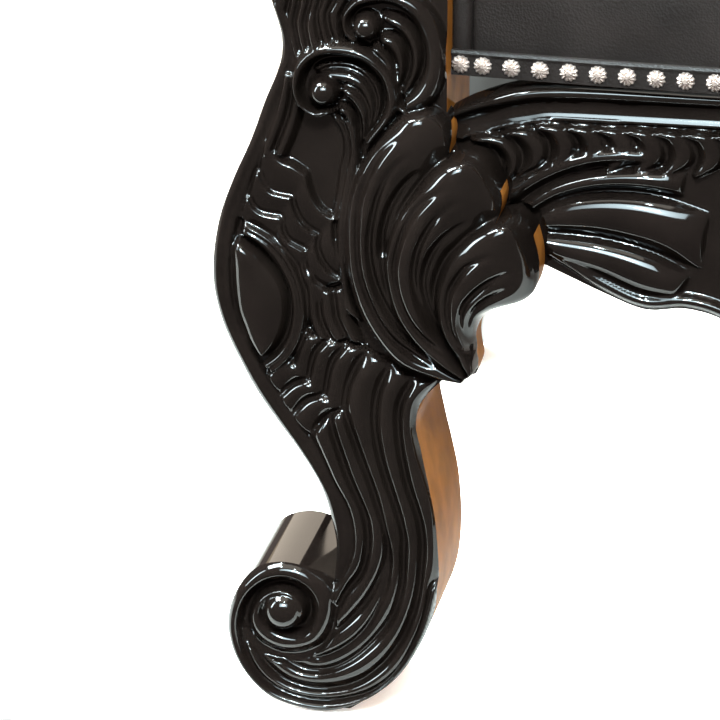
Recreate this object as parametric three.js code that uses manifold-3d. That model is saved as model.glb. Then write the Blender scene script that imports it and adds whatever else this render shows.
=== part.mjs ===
// Throne: a high-backed carved armchair. Millimetres, +Z up, the sitter faces -Y.
// Drawings of carved boards use x and z in the board's plane, and y as depth behind its front plane,
// so carving that stands proud of a board has a negative y.
import * as THREE from 'three';
import { mergeVertices } from 'three/addons/utils/BufferGeometryUtils.js';
import Module from 'manifold-3d';

const wasm = await Module();
wasm.setup();

// Driving dimensions
const POST_HALF_GAP = 260;      // from the middle to the inner face of a front leg
const LEG_DEPTH = 80;           // thickness of a front leg, front to back
const LEG_TOP = 704;            // top of the leg's scrolled head
const FRONT_Y = -346;           // front plane of the front legs
const WING_BACK = 15;           // depth of the back of the leaf that stands out beside a leg
const APRON_SETBACK = 16;       // front plane of the apron behind that of the legs
const APRON_THICK = 14;
const SEAT_BOTTOM = 405;
const SEAT_TOP = 500;
const SEAT_CROWN = 18;          // rise of the padding in the middle of the seat
const SEAT_SETBACK = 14;        // corner of the seat's front behind the legs' front plane
const SEAT_BOW = 14;            // how far the middle of the seat's front stands forward
const SEAT_SIDE = 306;          // half width of the seat behind the front legs
const RAIL_TOP = SEAT_BOTTOM;
const SIDE_RAIL_X = [290, 336];
const POST_X = [283, 345];      // inner and outer face of a back post
const BACK_Y = 176;             // front face of the back posts at the seat
const BACK_TILT = 7;            // degrees that the back leans
const STILE_LENGTH = 990;       // back post above the seat, along the lean
const STILE_DEPTH = 60;
const STILE_FOOT = 500;         // height at which the post starts to lean back
const SPLAY = 62;               // how far the rear feet stand outward
const SPLAY_TOP = 318;          // height at which the rear legs start to splay
const ARM_X = [292, 344];
const ARM_UNDER = 640;
const ARM_OVER = 686;
const GAP = 0.3;                // clearance between touching pieces
const SUNK = 8;                 // how deep the root of a carved form goes into its board

const LACQUER = { color: 0x0d0a09, roughness: 0.16, metalness: 0 };
const LEATHER = { color: 0x17120f, roughness: 0.5, metalness: 0 };

// Smooth path through drawing points, sampled at equal steps of its parameter
function path(points, steps) {
  const curve = new THREE.CatmullRomCurve3(
    points.map(([x, z]) => new THREE.Vector3(x, 0, z)), false, 'centripetal');
  return Array.from({ length: steps + 1 }, (_, i) => curve.getPoint(i / steps));
}

// A closed body as a manifold, turned right side out
function solid(positions, index) {
  const raw = new THREE.BufferGeometry();
  raw.setAttribute('position', new THREE.Float32BufferAttribute(positions, 3));
  raw.setIndex(index);
  return solidOf(raw);
}

function solidOf(geometry) {
  geometry.deleteAttribute('normal');
  geometry.deleteAttribute('uv');
  const merged = mergeVertices(geometry, 1e-3);
  const p = merged.attributes.position;
  const index = Array.from(merged.index.array);
  const corners = [new THREE.Vector3(), new THREE.Vector3(), new THREE.Vector3()];
  let volume = 0;
  for (let i = 0; i < index.length; i += 3) {
    corners.forEach((v, k) => v.fromBufferAttribute(p, index[i + k]));
    volume += corners[0].dot(corners[1].clone().cross(corners[2]));
  }
  if (volume < 0) index.reverse();
  return new wasm.Manifold(new wasm.Mesh({
    numProp: 3,
    vertProperties: new Float32Array(p.array),
    triVerts: new Uint32Array(index),
  }));
}

function joined(solids) {
  return solids.reduce((whole, next) => whole.add(next));
}

function geometryOf(manifold) {
  const mesh = manifold.getMesh();
  const geometry = new THREE.BufferGeometry();
  geometry.setAttribute('position', new THREE.BufferAttribute(new Float32Array(mesh.vertProperties), 3));
  geometry.setIndex(Array.from(mesh.triVerts));
  return geometry;
}

// The mirror image of a geometry across the x = 0 plane
function mirrored(geometry) {
  const copy = geometry.clone();
  copy.scale(-1, 1, 1);
  copy.setIndex(Array.from(geometry.index.array).reverse());
  return copy;
}

// A board: an outline in x and z with a thickness from yFront back to yBack
function board(outline, yFront, yBack) {
  const shape = new THREE.Shape(outline.map(([x, z]) => new THREE.Vector2(x, z)));
  const geometry = new THREE.ExtrudeGeometry(shape, { depth: yBack - yFront, bevelEnabled: false });
  geometry.rotateX(Math.PI / 2);
  geometry.translate(0, yBack, 0);
  return solidOf(geometry);
}

// A carved strip between two rails with the same number of points. Its section is a crown
// with ribs along it, it starts in a round head and thins out to its tail.
function strip({ left, right, edge = 3, crown = 4, ribs = 0, rib = 2, head = 0.12, tail = 0.5,
  steps = 10, across = 4, back = SUNK }) {
  const a = path(left, steps);
  const b = path(right, steps);
  const positions = [];
  const grid = (i, j, front) => 2 * (i * (across + 1) + j) + (front ? 0 : 1);
  for (let i = 0; i <= steps; i++) {
    const t = i / steps;
    const rise = t < head ? Math.sqrt(1 - (1 - t / head) ** 2) : 1 - (1 - tail) * (t - head) / (1 - head);
    for (let j = 0; j <= across; j++) {
      const s = j / across;
      const beads = ribs ? rib * Math.abs(Math.sin(Math.PI * ribs * s)) : 0;
      const height = (edge + crown * Math.sin(Math.PI * s) + beads) * rise;
      const spot = a[i].clone().lerp(b[i], s);
      positions.push(spot.x, -height, spot.z, spot.x, back, spot.z);
    }
  }
  const index = [];
  const quad = (p, q, r, s) => index.push(p, q, r, p, r, s);
  for (let i = 0; i < steps; i++) {
    for (let j = 0; j < across; j++) {
      quad(grid(i, j, true), grid(i + 1, j, true), grid(i + 1, j + 1, true), grid(i, j + 1, true));
      quad(grid(i, j, false), grid(i, j + 1, false), grid(i + 1, j + 1, false), grid(i + 1, j, false));
    }
    quad(grid(i, 0, true), grid(i, 0, false), grid(i + 1, 0, false), grid(i + 1, 0, true));
    quad(grid(i, across, true), grid(i + 1, across, true), grid(i + 1, across, false),
      grid(i, across, false));
  }
  for (let j = 0; j < across; j++) {
    quad(grid(0, j, true), grid(0, j + 1, true), grid(0, j + 1, false), grid(0, j, false));
    quad(grid(steps, j, true), grid(steps, j, false), grid(steps, j + 1, false), grid(steps, j + 1, true));
  }
  return solid(positions, index);
}

// A carved band of a given width along one path, from wide to narrow
function band({ along, from, to, ...rest }) {
  const curve = new THREE.CatmullRomCurve3(
    along.map(([x, z]) => new THREE.Vector3(x, 0, z)), false, 'centripetal');
  const count = along.length * 2;
  const sides = [[], []];
  for (let i = 0; i <= count; i++) {
    const t = i / count;
    const spot = curve.getPoint(t);
    const ahead = curve.getTangent(t);
    const half = THREE.MathUtils.lerp(from, to, t) / 2;
    sides[0].push([spot.x - ahead.z * half, spot.z + ahead.x * half]);
    sides[1].push([spot.x + ahead.z * half, spot.z - ahead.x * half]);
  }
  return strip({ left: sides[0], right: sides[1], across: 2, head: 0.02, tail: 0.8, ...rest });
}

// A low oval dome on a board
function dome({ x, z, rx, rz = rx, height, turn = 0, sides = 12, rings = 3, back = SUNK }) {
  const positions = [x, -height, z, x, back, z];
  const index = [];
  const spot = (ring, k) => 2 + (ring - 1) * sides + (k % sides);
  for (let ring = 1; ring <= rings + 1; ring++) {
    const angle = Math.PI / 2 * Math.min(ring, rings) / rings;
    const depth = ring > rings ? back : -height * Math.cos(angle) - 0.5;
    for (let k = 0; k < sides; k++) {
      const a = 2 * Math.PI * k / sides;
      const u = rx * Math.sin(angle) * Math.cos(a);
      const v = rz * Math.sin(angle) * Math.sin(a);
      positions.push(x + u * Math.cos(turn) - v * Math.sin(turn), depth,
        z + u * Math.sin(turn) + v * Math.cos(turn));
    }
  }
  for (let k = 0; k < sides; k++) {
    index.push(0, spot(1, k), spot(1, k + 1));
    index.push(1, spot(rings + 1, k + 1), spot(rings + 1, k));
    for (let ring = 1; ring <= rings; ring++) {
      index.push(spot(ring, k), spot(ring + 1, k), spot(ring + 1, k + 1));
      index.push(spot(ring, k), spot(ring + 1, k + 1), spot(ring, k + 1));
    }
  }
  return solid(positions, index);
}

// Front leg, drawn for the sitter's left: x runs outboard from the inner face of the post
function legOutline() {
  const outboard = [[104, 451], [97, 426], [101, 407], [117, 365], [136, 317], [141, 280], [133, 243],
    [115, 206], [88, 169], [73, 138], [65, 108], [68, 85]];
  const footScroll = [[68, 85], [79, 93], [93, 98], [108, 96], [124, 82], [133, 60], [131, 33], [117, 13],
    [98, 0]];
  const inboard = [[58, 0], [42, 9], [24, 28], [11, 51], [3, 77], [1, 104], [5, 134], [12, 166], [17, 190],
    [16, 204], [8, 214], [0, 222]];
  const head = [[0, 664], [12, 682], [32, 697], [58, LEG_TOP], [84, 701], [106, 686], [116, 662],
    [113, 638], [104, 616], [112, 592], [122, 560], [122, 520], [112, 480], [104, 451]];
  const runs = [path(outboard, 16), path(footScroll, 11).slice(1), path(inboard, 15),
    path(head, 15).slice(0, -1)];
  return runs.flat().map((p) => [p.x, p.z]);
}

function rimMoulding() {
  return strip({
    left: [[104, 434], [97, 412], [114, 366], [132, 317], [138, 280], [130, 243], [112, 208], [85, 170],
      [70, 138], [62, 110], [65, 86]],
    right: [[96, 430], [93, 405], [104, 373], [122, 322], [129, 282], [122, 246], [104, 213], [77, 173],
      [63, 138], [59, 112], [62, 90]],
    edge: 5, crown: 3, head: 0.02, tail: 0.8, steps: 11, across: 2,
  });
}

// Locks that sweep down the outside of the leg from its head
function maneLocks() {
  return strip({
    left: [[112, 630], [118, 590], [117, 540], [110, 490], [101, 450], [95, 428], [91, 410]],
    right: [[40, 630], [48, 590], [52, 540], [54, 490], [56, 455], [64, 436], [74, 424]],
    edge: 4, crown: 6, ribs: 3, rib: 4, steps: 6, across: 6, tail: 0.6,
  });
}

function headScroll() {
  const turn = [[20, 600], [12, 640], [24, 676], [58, 692], [94, 680], [104, 650], [90, 624], [66, 620],
    [52, 638], [58, 656]];
  return [
    band({ along: turn, from: 22, to: 10, edge: 6, crown: 8, steps: 13 }),
    dome({ x: 70, z: 647, rx: 11, height: 16, sides: 8, rings: 2 }),
  ];
}

// The two volutes over the leaf, each with a ball in its eye and lobes in its hollow
function volutes() {
  const upper = [[56, 435], [57, 446], [48, 456], [36, 458], [22, 453], [13, 439], [10, 420], [14, 405],
    [24, 393]];
  const lower = [[69, 396], [76, 389], [84, 396], [86, 411], [78, 423], [66, 428], [52, 427], [38, 417],
    [31, 402], [32, 386], [42, 368]];
  return [
    band({ along: upper, from: 6, to: 10, edge: 8, crown: 6, steps: 9 }),
    dome({ x: 46, z: 440, rx: 8, height: 17, sides: 8, rings: 2 }),
    band({ along: [[37, 445], [25, 438], [20, 424], [23, 404]],
      from: 8, to: 5, edge: 8, crown: 5, steps: 4 }),
    band({ along: lower, from: 6, to: 9, edge: 9, crown: 7, steps: 10 }),
    dome({ x: 70, z: 402, rx: 8, height: 19, sides: 8, rings: 2 }),
    band({ along: [[60, 413], [47, 405], [41, 391], [46, 372]],
      from: 10, to: 5, edge: 7, crown: 6, steps: 4 }),
    band({ along: [[62, 396], [52, 387], [50, 372], [50, 352], [56, 325], [60, 300]], from: 9, to: 6,
      edge: 6, crown: 5, steps: 6 }),
  ];
}

// Scaly plates of the outboard side, each with a raised upper lip
function plates() {
  const cells = [
    [[105, 367], [98, 355], [82, 347], [92, 332], [103, 335], [112, 347]],
    [[112, 347], [104, 335], [91, 332], [99, 320], [110, 322], [118, 331]],
    [[118, 331], [110, 321], [99, 319], [97, 306], [109, 313], [124, 318]],
    [[83, 347], [78, 332], [65, 321], [76, 310], [86, 318], [92, 331]],
    [[92, 331], [86, 318], [76, 309], [84, 300], [94, 306], [99, 319]],
    [[76, 309], [70, 314], [64, 319], [61, 283], [68, 288], [74, 294]],
    [[85, 299], [80, 303], [75, 296], [63, 268], [70, 274], [78, 280]],
    [[84, 295], [80, 286], [76, 278], [60, 247], [70, 248], [80, 249]],
    [[109, 218], [100, 225], [92, 229], [83, 219], [91, 215], [98, 210]],
    [[98, 209], [89, 214], [80, 219], [74, 212], [82, 205], [92, 195]],
    [[92, 195], [82, 203], [73, 208], [62, 200], [70, 191], [80, 183]],
    [[82, 246], [76, 247], [70, 243], [84, 222], [88, 225], [92, 229]],
    [[69, 243], [64, 243], [59, 241], [70, 214], [75, 217], [81, 220]],
    [[58, 240], [52, 241], [46, 240], [56, 204], [62, 208], [69, 212]],
  ];
  return cells.map((cell) => strip({
    left: [cell[0], [(cell[0][0] + cell[5][0]) / 2, (cell[0][1] + cell[5][1]) / 2], cell[5]],
    right: [cell[2], [(cell[2][0] + cell[3][0]) / 2, (cell[2][1] + cell[3][1]) / 2], cell[3]],
    edge: 8, crown: 0, head: 0.01, tail: 0.45, steps: 2, across: 1,
  }));
}

// The oval boss on the knee with its two-bead frame
function kneeBoss() {
  return [
    dome({ x: 111, z: 271, rx: 20, rz: 35, turn: 0.16, height: 15, sides: 14 }),
    strip({
      left: [[126, 318], [109, 311], [92, 295], [83, 276], [83, 254], [90, 234], [106, 220]],
      right: [[127, 307], [114, 304], [102, 292], [93, 275], [92, 255], [98, 239], [110, 229]],
      edge: 6, crown: 4, steps: 8, across: 2, head: 0.05, tail: 0.7,
    }),
  ];
}

// The three-lobed leaf, each lobe domed at the top and drawn out to the common tip
function leafLobes() {
  const lobes = [
    {
      left: [[14, 391], [26, 388], [39, 373], [50, 353], [57, 328], [57, 296], [50, 270], [37, 248],
        [18, 234], [-12, 227]],
      right: [[8, 391], [-1, 384], [-3, 370], [6, 350], [20, 323], [27, 298], [26, 276], [16, 256], [0, 240],
        [-18, 229]],
      edge: 10, crown: 12, ribs: 3, tail: 0.55, back: SUNK,
    },
    {
      left: [[-14, 366], [-4, 362], [8, 353], [21, 336], [30, 317], [33, 295], [29, 271], [17, 252], [0, 239],
        [-18, 231]],
      right: [[-20, 366], [-29, 357], [-35, 341], [-29, 327], [-14, 313], [-2, 294], [1, 275], [-2, 257],
        [-10, 244], [-22, 234]],
      edge: 17, crown: 15, ribs: 3, tail: 0.55, back: WING_BACK,
    },
    {
      left: [[-43, 329], [-32, 328], [-16, 320], [-4, 306], [3, 288], [3, 268], [-2, 252], [-9, 240],
        [-19, 232]],
      right: [[-47, 329], [-55, 321], [-57, 303], [-52, 287], [-40, 281], [-28, 275], [-23, 262], [-23, 248],
        [-24, 235]],
      edge: 17, crown: 16, ribs: 3, tail: 0.6, back: WING_BACK,
    },
  ];
  return lobes.map((lobe) => strip({ rib: 3, head: 0.2, steps: 8, across: 6, ...lobe }));
}

// Ribs that run down the shin and wind into the foot scroll round its ball
function shinAndFoot() {
  return [
    strip({
      left: [[54, 236], [48, 204], [52, 170], [58, 140], [59, 114], [61, 90], [70, 66], [84, 51], [100, 47],
        [112, 58]],
      right: [[6, 226], [14, 200], [10, 162], [3, 132], [2, 104], [6, 74], [24, 32], [60, 2], [106, 8],
        [131, 42]],
      edge: 5, crown: 3, ribs: 3, rib: 4, head: 0.04, tail: 0.9, steps: 15, across: 6,
    }),
    strip({
      left: [[112, 56], [111, 71], [102, 81], [90, 80], [82, 70], [84, 60]],
      right: [[131, 40], [131, 66], [114, 88], [90, 93], [73, 76], [75, 56]],
      edge: 6, crown: 6, head: 0.01, tail: 0.7, steps: 9, across: 2,
    }),
    dome({ x: 98, z: 66, rx: 9.5, height: 17, sides: 10, rings: 2 }),
  ];
}

function frontLeg() {
  return geometryOf(joined([
    board(legOutline(), 0, LEG_DEPTH), rimMoulding(), maneLocks(), ...headScroll(), ...volutes(), ...plates(),
    ...kneeBoss(), ...leafLobes(), ...shinAndFoot(),
  ]));
}

// Front apron, drawn for one half from the middle out, then mirrored
function apronOutline() {
  const top = path([[POST_HALF_GAP - GAP, 382], [245, 392], [222, 400], [197, SEAT_BOTTOM - GAP]], 6);
  const bottom = path([[0, 208], [22, 213], [46, 226], [70, 244], [95, 264], [118, 270], [142, 268],
    [168, 278], [190, 292], [206, 299], [POST_HALF_GAP - GAP, 302]], 20);
  const half = [...bottom, ...top].map((p) => [p.x, p.z]);
  const other = half.slice(1).reverse().map(([x, z]) => [-x, z]);
  return [...half, ...other];
}

function apronHalf() {
  const bead = [[256, 378], [240, 390], [220, 396], [190, 400], [100, 400], [-4, 400]];
  const scallops = [229, 204, 179, 154, 129].map((x, i) => dome({
    x, z: 362 + 10 * Math.sin(Math.min(i, 3) / 3 * Math.PI / 2),
    rx: 14, rz: 13, height: 11, sides: 8, rings: 2,
  }));
  const fan = [[148, 358], [116, 338], [104, 306], [134, 282]];
  const strands = fan.map(([x, z], i) => band({
    along: [[200, 345 - 10 * i], [(200 + x) / 2, (345 - 10 * i + z) / 2 + 4 - 3 * i], [x, z]],
    from: 10, to: 18, edge: 4, crown: 8, steps: 3, tail: 1,
  }));
  return [
    band({ along: bead, from: 7, to: 7, edge: 3, crown: 5, steps: 6 }),
    ...scallops, ...strands,
    strip({
      left: [[6, 376], [50, 366], [72, 330], [64, 286], [30, 246], [4, 226]],
      right: [[6, 364], [38, 354], [54, 324], [48, 290], [22, 258], [4, 240]],
      edge: 5, crown: 5, steps: 6, across: 2, tail: 0.8,
    }),
  ];
}

function bothSides(half) {
  return half.flatMap((form) => [form, solidOf(mirrored(geometryOf(form)))]);
}

// The room in front of the apron that the leaf of a leg takes up
function leafRoom() {
  const around = [[-12, 369], [-24, 368], [-33, 359], [-38, 342], [-36, 332], [-49, 332], [-58, 323],
    [-60, 303], [-55, 284], [-40, 268], [4, 268], [4, 369]];
  return board(around.map(([x, z]) => [POST_HALF_GAP + x, z]), -60, -0.5);
}

function frontApron() {
  const cartouche = dome({ x: 0, z: 304, rx: 34, rz: 46, height: 18, sides: 14 });
  const carved = joined([board(apronOutline(), 0, APRON_THICK), ...bothSides(apronHalf()), cartouche]);
  return geometryOf(bothSides([leafRoom()]).reduce((rest, room) => rest.subtract(room), carved));
}

// A rail with an outline in y and z, extruded across x
function sidewaysBoard(outline, xFrom, xTo) {
  const shape = new THREE.Shape(outline.map(([y, z]) => new THREE.Vector2(y, z)));
  const geometry = new THREE.ExtrudeGeometry(shape, { depth: xTo - xFrom, bevelEnabled: false });
  geometry.rotateX(Math.PI / 2);
  geometry.rotateZ(Math.PI / 2);
  geometry.translate(xFrom, 0, 0);
  return geometryOf(solidOf(geometry));
}

const lean = THREE.MathUtils.degToRad(BACK_TILT);
const legBackY = FRONT_Y + LEG_DEPTH;

// Where the front face of the leaning back stands at a height
function backFaceY(z) {
  return BACK_Y + Math.max(0, z - STILE_FOOT) * Math.tan(lean);
}

function sideApron() {
  const lower = path([[legBackY + GAP, 318], [-190, 322], [-110, 336], [-30, 342], [60, 330],
    [BACK_Y - GAP, 312]], 14);
  return sidewaysBoard([...lower.map((p) => [p.x, p.z]), [BACK_Y - GAP, RAIL_TOP - GAP],
    [legBackY + GAP, RAIL_TOP - GAP]], ...SIDE_RAIL_X);
}

// Rear leg and stile in one: a board cut from the side, its foot leaned outward below the rail
function backPost() {
  const topY = BACK_Y + STILE_LENGTH * Math.sin(lean);
  const topZ = STILE_FOOT + STILE_LENGTH * Math.cos(lean);
  const rearFoot = path([[BACK_Y + 152, 0], [BACK_Y + 110, 120], [BACK_Y + 76, 270], [BACK_Y + 62, 400],
    [BACK_Y + STILE_DEPTH * Math.cos(lean), STILE_FOOT - STILE_DEPTH * Math.sin(lean)]], 9);
  const frontFoot = path([[BACK_Y, STILE_FOOT], [BACK_Y, 400], [BACK_Y + 12, 270], [BACK_Y + 44, 120],
    [BACK_Y + 98, 0]], 9);
  const straight = solidOf(sidewaysBoard([
    ...rearFoot.map((p) => [p.x, p.z]),
    [topY + STILE_DEPTH * Math.cos(lean), topZ - STILE_DEPTH * Math.sin(lean)], [topY, topZ],
    ...frontFoot.map((p) => [p.x, p.z]),
  ], ...POST_X));
  const below = solidOf(new THREE.BoxGeometry(400, 800, SPLAY_TOP + 20)
    .translate((POST_X[0] + POST_X[1]) / 2, BACK_Y, SPLAY_TOP / 2 - 10));
  const leg = geometryOf(straight.intersect(below));
  const place = leg.getAttribute('position');
  for (let i = 0; i < place.count; i += 1) {
    const drop = Math.max(0, 1 - place.getZ(i) / SPLAY_TOP);
    place.setX(i, place.getX(i) + SPLAY * drop);
  }
  return geometryOf(straight.subtract(below).add(solidOf(leg)));
}

// Arm rail, dipped in the middle, from the leg's head to the leaning post
function armRail() {
  const backTop = backFaceY(ARM_OVER) - GAP;
  const backUnder = backFaceY(ARM_UNDER) - GAP;
  const over = path([[legBackY + GAP, ARM_OVER], [-160, 676], [-40, 670], [80, 676],
    [backTop, ARM_OVER]], 10);
  const under = path([[backUnder, ARM_UNDER], [100, 634], [-20, 628], [-150, 630],
    [legBackY + GAP, ARM_UNDER]], 10);
  return sidewaysBoard([...over, ...under].map((p) => [p.x, p.z]), ...ARM_X);
}

function armPad() {
  const over = path([[-190, 690], [-180, 704], [-120, 707], [-40, 704], [40, 705], [84, 705], [96, 694]], 12);
  const under = path([[96, 681], [20, 674], [-40, 671.5], [-110, 674.5], [-190, 681]], 8);
  return sidewaysBoard([...over, ...under].map((p) => [p.x, p.z]), ARM_X[0] + 4, ARM_X[1] - 4);
}

// Seat: a leather box, narrow between the legs, wider behind them, bowed in front
function seat() {
  const frontY = FRONT_Y + SEAT_SETBACK;
  const inner = POST_HALF_GAP - 3;
  const bow = Array.from({ length: 13 }, (_, i) => {
    const x = inner * (i / 6 - 1);
    return [x, frontY - SEAT_BOW * (1 - (x / inner) ** 2)];
  });
  const wide = legBackY + 4;
  const rear = BACK_Y - 3;
  const outline = [...bow, [inner, wide], [SEAT_SIDE, wide], [SEAT_SIDE, rear], [-SEAT_SIDE, rear],
    [-SEAT_SIDE, wide], [-inner, wide]];
  const shape = new THREE.Shape(outline.map(([x, y]) => new THREE.Vector2(x, y)));
  const box = new THREE.ExtrudeGeometry(shape, { depth: SEAT_TOP - SEAT_BOTTOM, bevelEnabled: false });
  box.translate(0, 0, SEAT_BOTTOM);
  const crown = new THREE.SphereGeometry(1, 16, 4, 0, 2 * Math.PI, 0, Math.PI / 2);
  crown.rotateX(Math.PI / 2);
  const floor = new THREE.CircleGeometry(1, 16);
  floor.rotateX(Math.PI);
  for (const half of [crown, floor]) {
    half.scale(inner - 12, 225, SEAT_CROWN);
    half.translate(0, -75, SEAT_TOP - 2);
  }
  return geometryOf(solidOf(box).add(solidOf(closedCap(crown, floor))));
}

// A half sphere closed by its round floor
function closedCap(upper, floor) {
  const a = mergeVertices(stripped(upper), 1e-3);
  const b = mergeVertices(stripped(floor), 1e-3);
  const shift = a.attributes.position.count;
  const whole = new THREE.BufferGeometry();
  whole.setAttribute('position', new THREE.Float32BufferAttribute(
    [...a.attributes.position.array, ...b.attributes.position.array], 3));
  whole.setIndex([...a.index.array, ...Array.from(b.index.array, (i) => i + shift)]);
  return whole;
}

function stripped(geometry) {
  geometry.deleteAttribute('normal');
  geometry.deleteAttribute('uv');
  return geometry;
}

function rearRail() {
  const x = POST_X[0] - GAP;
  return geometryOf(board([[-x, 320], [x, 320], [x, RAIL_TOP - GAP], [-x, RAIL_TOP - GAP]],
    BACK_Y + 8, BACK_Y + 44));
}

// Crest rail, drawn in the leaning plane of the back with z from the top of the posts
function crestRail() {
  const half = path([[0, 252], [26, 244], [52, 214], [74, 176], [112, 150], [150, 154], [184, 166],
    [218, 152], [244, 118], [276, 88], [316, 84], [348, 66], [356, 36], [344, GAP]], 34);
  const right = half.map((p) => [p.x, p.z]);
  const outline = [...right, ...right.slice(1).reverse().map(([x, z]) => [-x, z])];
  const side = [
    band({ along: [[20, 20], [80, 34], [130, 70], [170, 130], [205, 138], [222, 112], [206, 88], [186, 98]],
      from: 20, to: 9, edge: 6, crown: 8, steps: 11 }),
    dome({ x: 200, z: 108, rx: 10, height: 17, sides: 8, rings: 2 }),
    band({ along: [[120, 22], [190, 30], [250, 58], [300, 70], [336, 56], [338, 32], [318, 24], [308, 38]],
      from: 18, to: 8, edge: 6, crown: 8, steps: 10 }),
    dome({ x: 322, z: 42, rx: 9, height: 16, sides: 8, rings: 2 }),
  ];
  const rays = [[14, 230], [44, 200], [66, 164], [84, 128]].map(([x, z]) => band({
    along: [[x * 0.16, 66 + z * 0.05], [x * 0.62, z * 0.62 + 20], [x, z]],
    from: 12, to: 26, edge: 6, crown: 14, steps: 4, tail: 1,
  }));
  return geometryOf(joined([
    board(outline, 0, 52), ...bothSides([...side, ...rays]),
    dome({ x: 0, z: 78, rx: 30, rz: 38, height: 30, sides: 14 }),
  ]));
}

function panelBox(bottom, top, front, back) {
  const x = POST_X[0] - GAP;
  const geometry = new THREE.BoxGeometry(2 * x, back - front, top - bottom);
  geometry.translate(0, (front + back) / 2, (top + bottom) / 2);
  return geometryOf(solidOf(geometry));
}

function add(group, name, geometry, look) {
  const mesh = new THREE.Mesh(geometry, new THREE.MeshStandardMaterial(look));
  mesh.name = name;
  group.add(mesh);
  return mesh;
}

const throne = new THREE.Group();

// Pieces that come in pairs are drawn for the sitter's left, at +X, and mirrored for the right
function addPair(name, geometry, look, x = 0, y = 0) {
  for (const [side, shape, sign] of [['left', geometry, 1], ['right', mirrored(geometry), -1]]) {
    add(throne, `${name}_${side}`, shape, look).position.set(sign * x, y, 0);
  }
}

addPair('front_leg', frontLeg(), LACQUER, POST_HALF_GAP, FRONT_Y);
addPair('side_apron', sideApron(), LACQUER);
addPair('back_post', backPost(), LACQUER);
addPair('arm', armRail(), LACQUER);
addPair('arm_pad', armPad(), LEATHER);
add(throne, 'front_apron', frontApron(), LACQUER).position.y = FRONT_Y + APRON_SETBACK;
add(throne, 'rear_rail', rearRail(), LACQUER);
add(throne, 'seat', seat(), LEATHER);

// The back, in its own leaning plane: z runs up along the posts and y into their depth
const back = new THREE.Group();
back.position.set(0, BACK_Y, STILE_FOOT);
back.rotation.x = -lean;
const PANEL = [70, STILE_LENGTH - GAP];
add(back, 'lower_back_rail', panelBox(10, PANEL[0] - GAP, 8, 48), LACQUER);
add(back, 'back_panel', panelBox(PANEL[0], PANEL[1], -22, 50), LEATHER);
add(back, 'crest_rail', crestRail(), LACQUER).position.set(0, 4, STILE_LENGTH);
throne.add(back);

// The origin is the middle of the footprint, on the floor
throne.updateMatrixWorld(true);
const extent = new THREE.Box3().setFromObject(throne);
throne.position.y = -(extent.min.y + extent.max.y) / 2;

export default throne;
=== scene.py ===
import logging
import math
from dataclasses import dataclass, field
from enum import Enum
from typing import Callable

import bpy
import numpy as np
from mathutils import Matrix, Vector, kdtree


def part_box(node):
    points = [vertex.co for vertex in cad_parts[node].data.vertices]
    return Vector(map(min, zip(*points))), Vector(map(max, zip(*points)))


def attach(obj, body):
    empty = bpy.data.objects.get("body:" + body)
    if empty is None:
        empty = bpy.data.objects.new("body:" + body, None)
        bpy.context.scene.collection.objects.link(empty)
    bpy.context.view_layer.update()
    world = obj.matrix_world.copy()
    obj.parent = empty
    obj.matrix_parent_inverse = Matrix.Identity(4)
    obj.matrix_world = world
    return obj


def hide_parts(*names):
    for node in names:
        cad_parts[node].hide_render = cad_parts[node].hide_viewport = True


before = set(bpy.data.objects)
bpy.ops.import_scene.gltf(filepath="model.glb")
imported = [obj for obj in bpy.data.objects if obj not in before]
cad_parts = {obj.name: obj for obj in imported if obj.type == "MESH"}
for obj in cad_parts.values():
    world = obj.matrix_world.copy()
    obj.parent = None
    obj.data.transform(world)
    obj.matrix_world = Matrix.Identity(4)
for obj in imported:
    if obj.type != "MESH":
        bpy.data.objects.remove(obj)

log = logging.getLogger("throne")

MM = 0.001
BODY = "root"
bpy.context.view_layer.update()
LEG_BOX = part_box("front_leg_left")
LEG_INNER = 0.260
LEG_DEPTH = 0.080
LEG_FRONT_Y = LEG_BOX[1][1] - LEG_DEPTH
WALL_TILT = 0.03
WALL_STEP = 0.5
SHARP_ANGLE = 30
CLEAR = 60
SPARE = 6
GAP = 0.3

Point = tuple[float, float]
Rail = list[Point]


def deselect_all() -> None:
    """Clear the selection in object mode."""
    if bpy.context.object and bpy.context.object.mode != "OBJECT":
        bpy.ops.object.mode_set(mode="OBJECT")
    bpy.ops.object.select_all(action="DESELECT")


def activate(piece: bpy.types.Object) -> None:
    """Make one piece the only selected and active object.

    Args:
        piece: The object to select.
    """
    deselect_all()
    piece.select_set(True)
    bpy.context.view_layer.objects.active = piece


def mesh_piece(name: str, points: list, faces: list) -> bpy.types.Object:
    """Make a linked object from points and faces.

    Args:
        name: Name of the piece.
        points: Corner positions in metres.
        faces: Corner numbers of each face.

    Returns:
        The new object, at the origin.
    """
    mesh = bpy.data.meshes.new(name)
    mesh.from_pydata(points, [], faces)
    mesh.validate()
    piece = bpy.data.objects.new(name, mesh)
    bpy.context.scene.collection.objects.link(piece)
    return piece


def face_outward(piece: bpy.types.Object) -> None:
    """Turn all faces of a closed piece outward.

    Args:
        piece: The closed piece, in object mode.
    """
    activate(piece)
    bpy.ops.object.mode_set(mode="EDIT")
    bpy.ops.mesh.select_all(action="SELECT")
    bpy.ops.mesh.normals_make_consistent(inside=False)
    bpy.ops.object.mode_set(mode="OBJECT")


def apply_modifier(piece: bpy.types.Object, kind: str, **settings: object) -> None:
    """Add a modifier with settings and apply it.

    Args:
        piece: The object to change.
        kind: Modifier type.
        settings: Modifier properties.
    """
    activate(piece)
    modifier = piece.modifiers.new(kind.lower(), kind)
    for key, value in settings.items():
        setattr(modifier, key, value)
    bpy.ops.object.modifier_apply(modifier=modifier.name)


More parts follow.
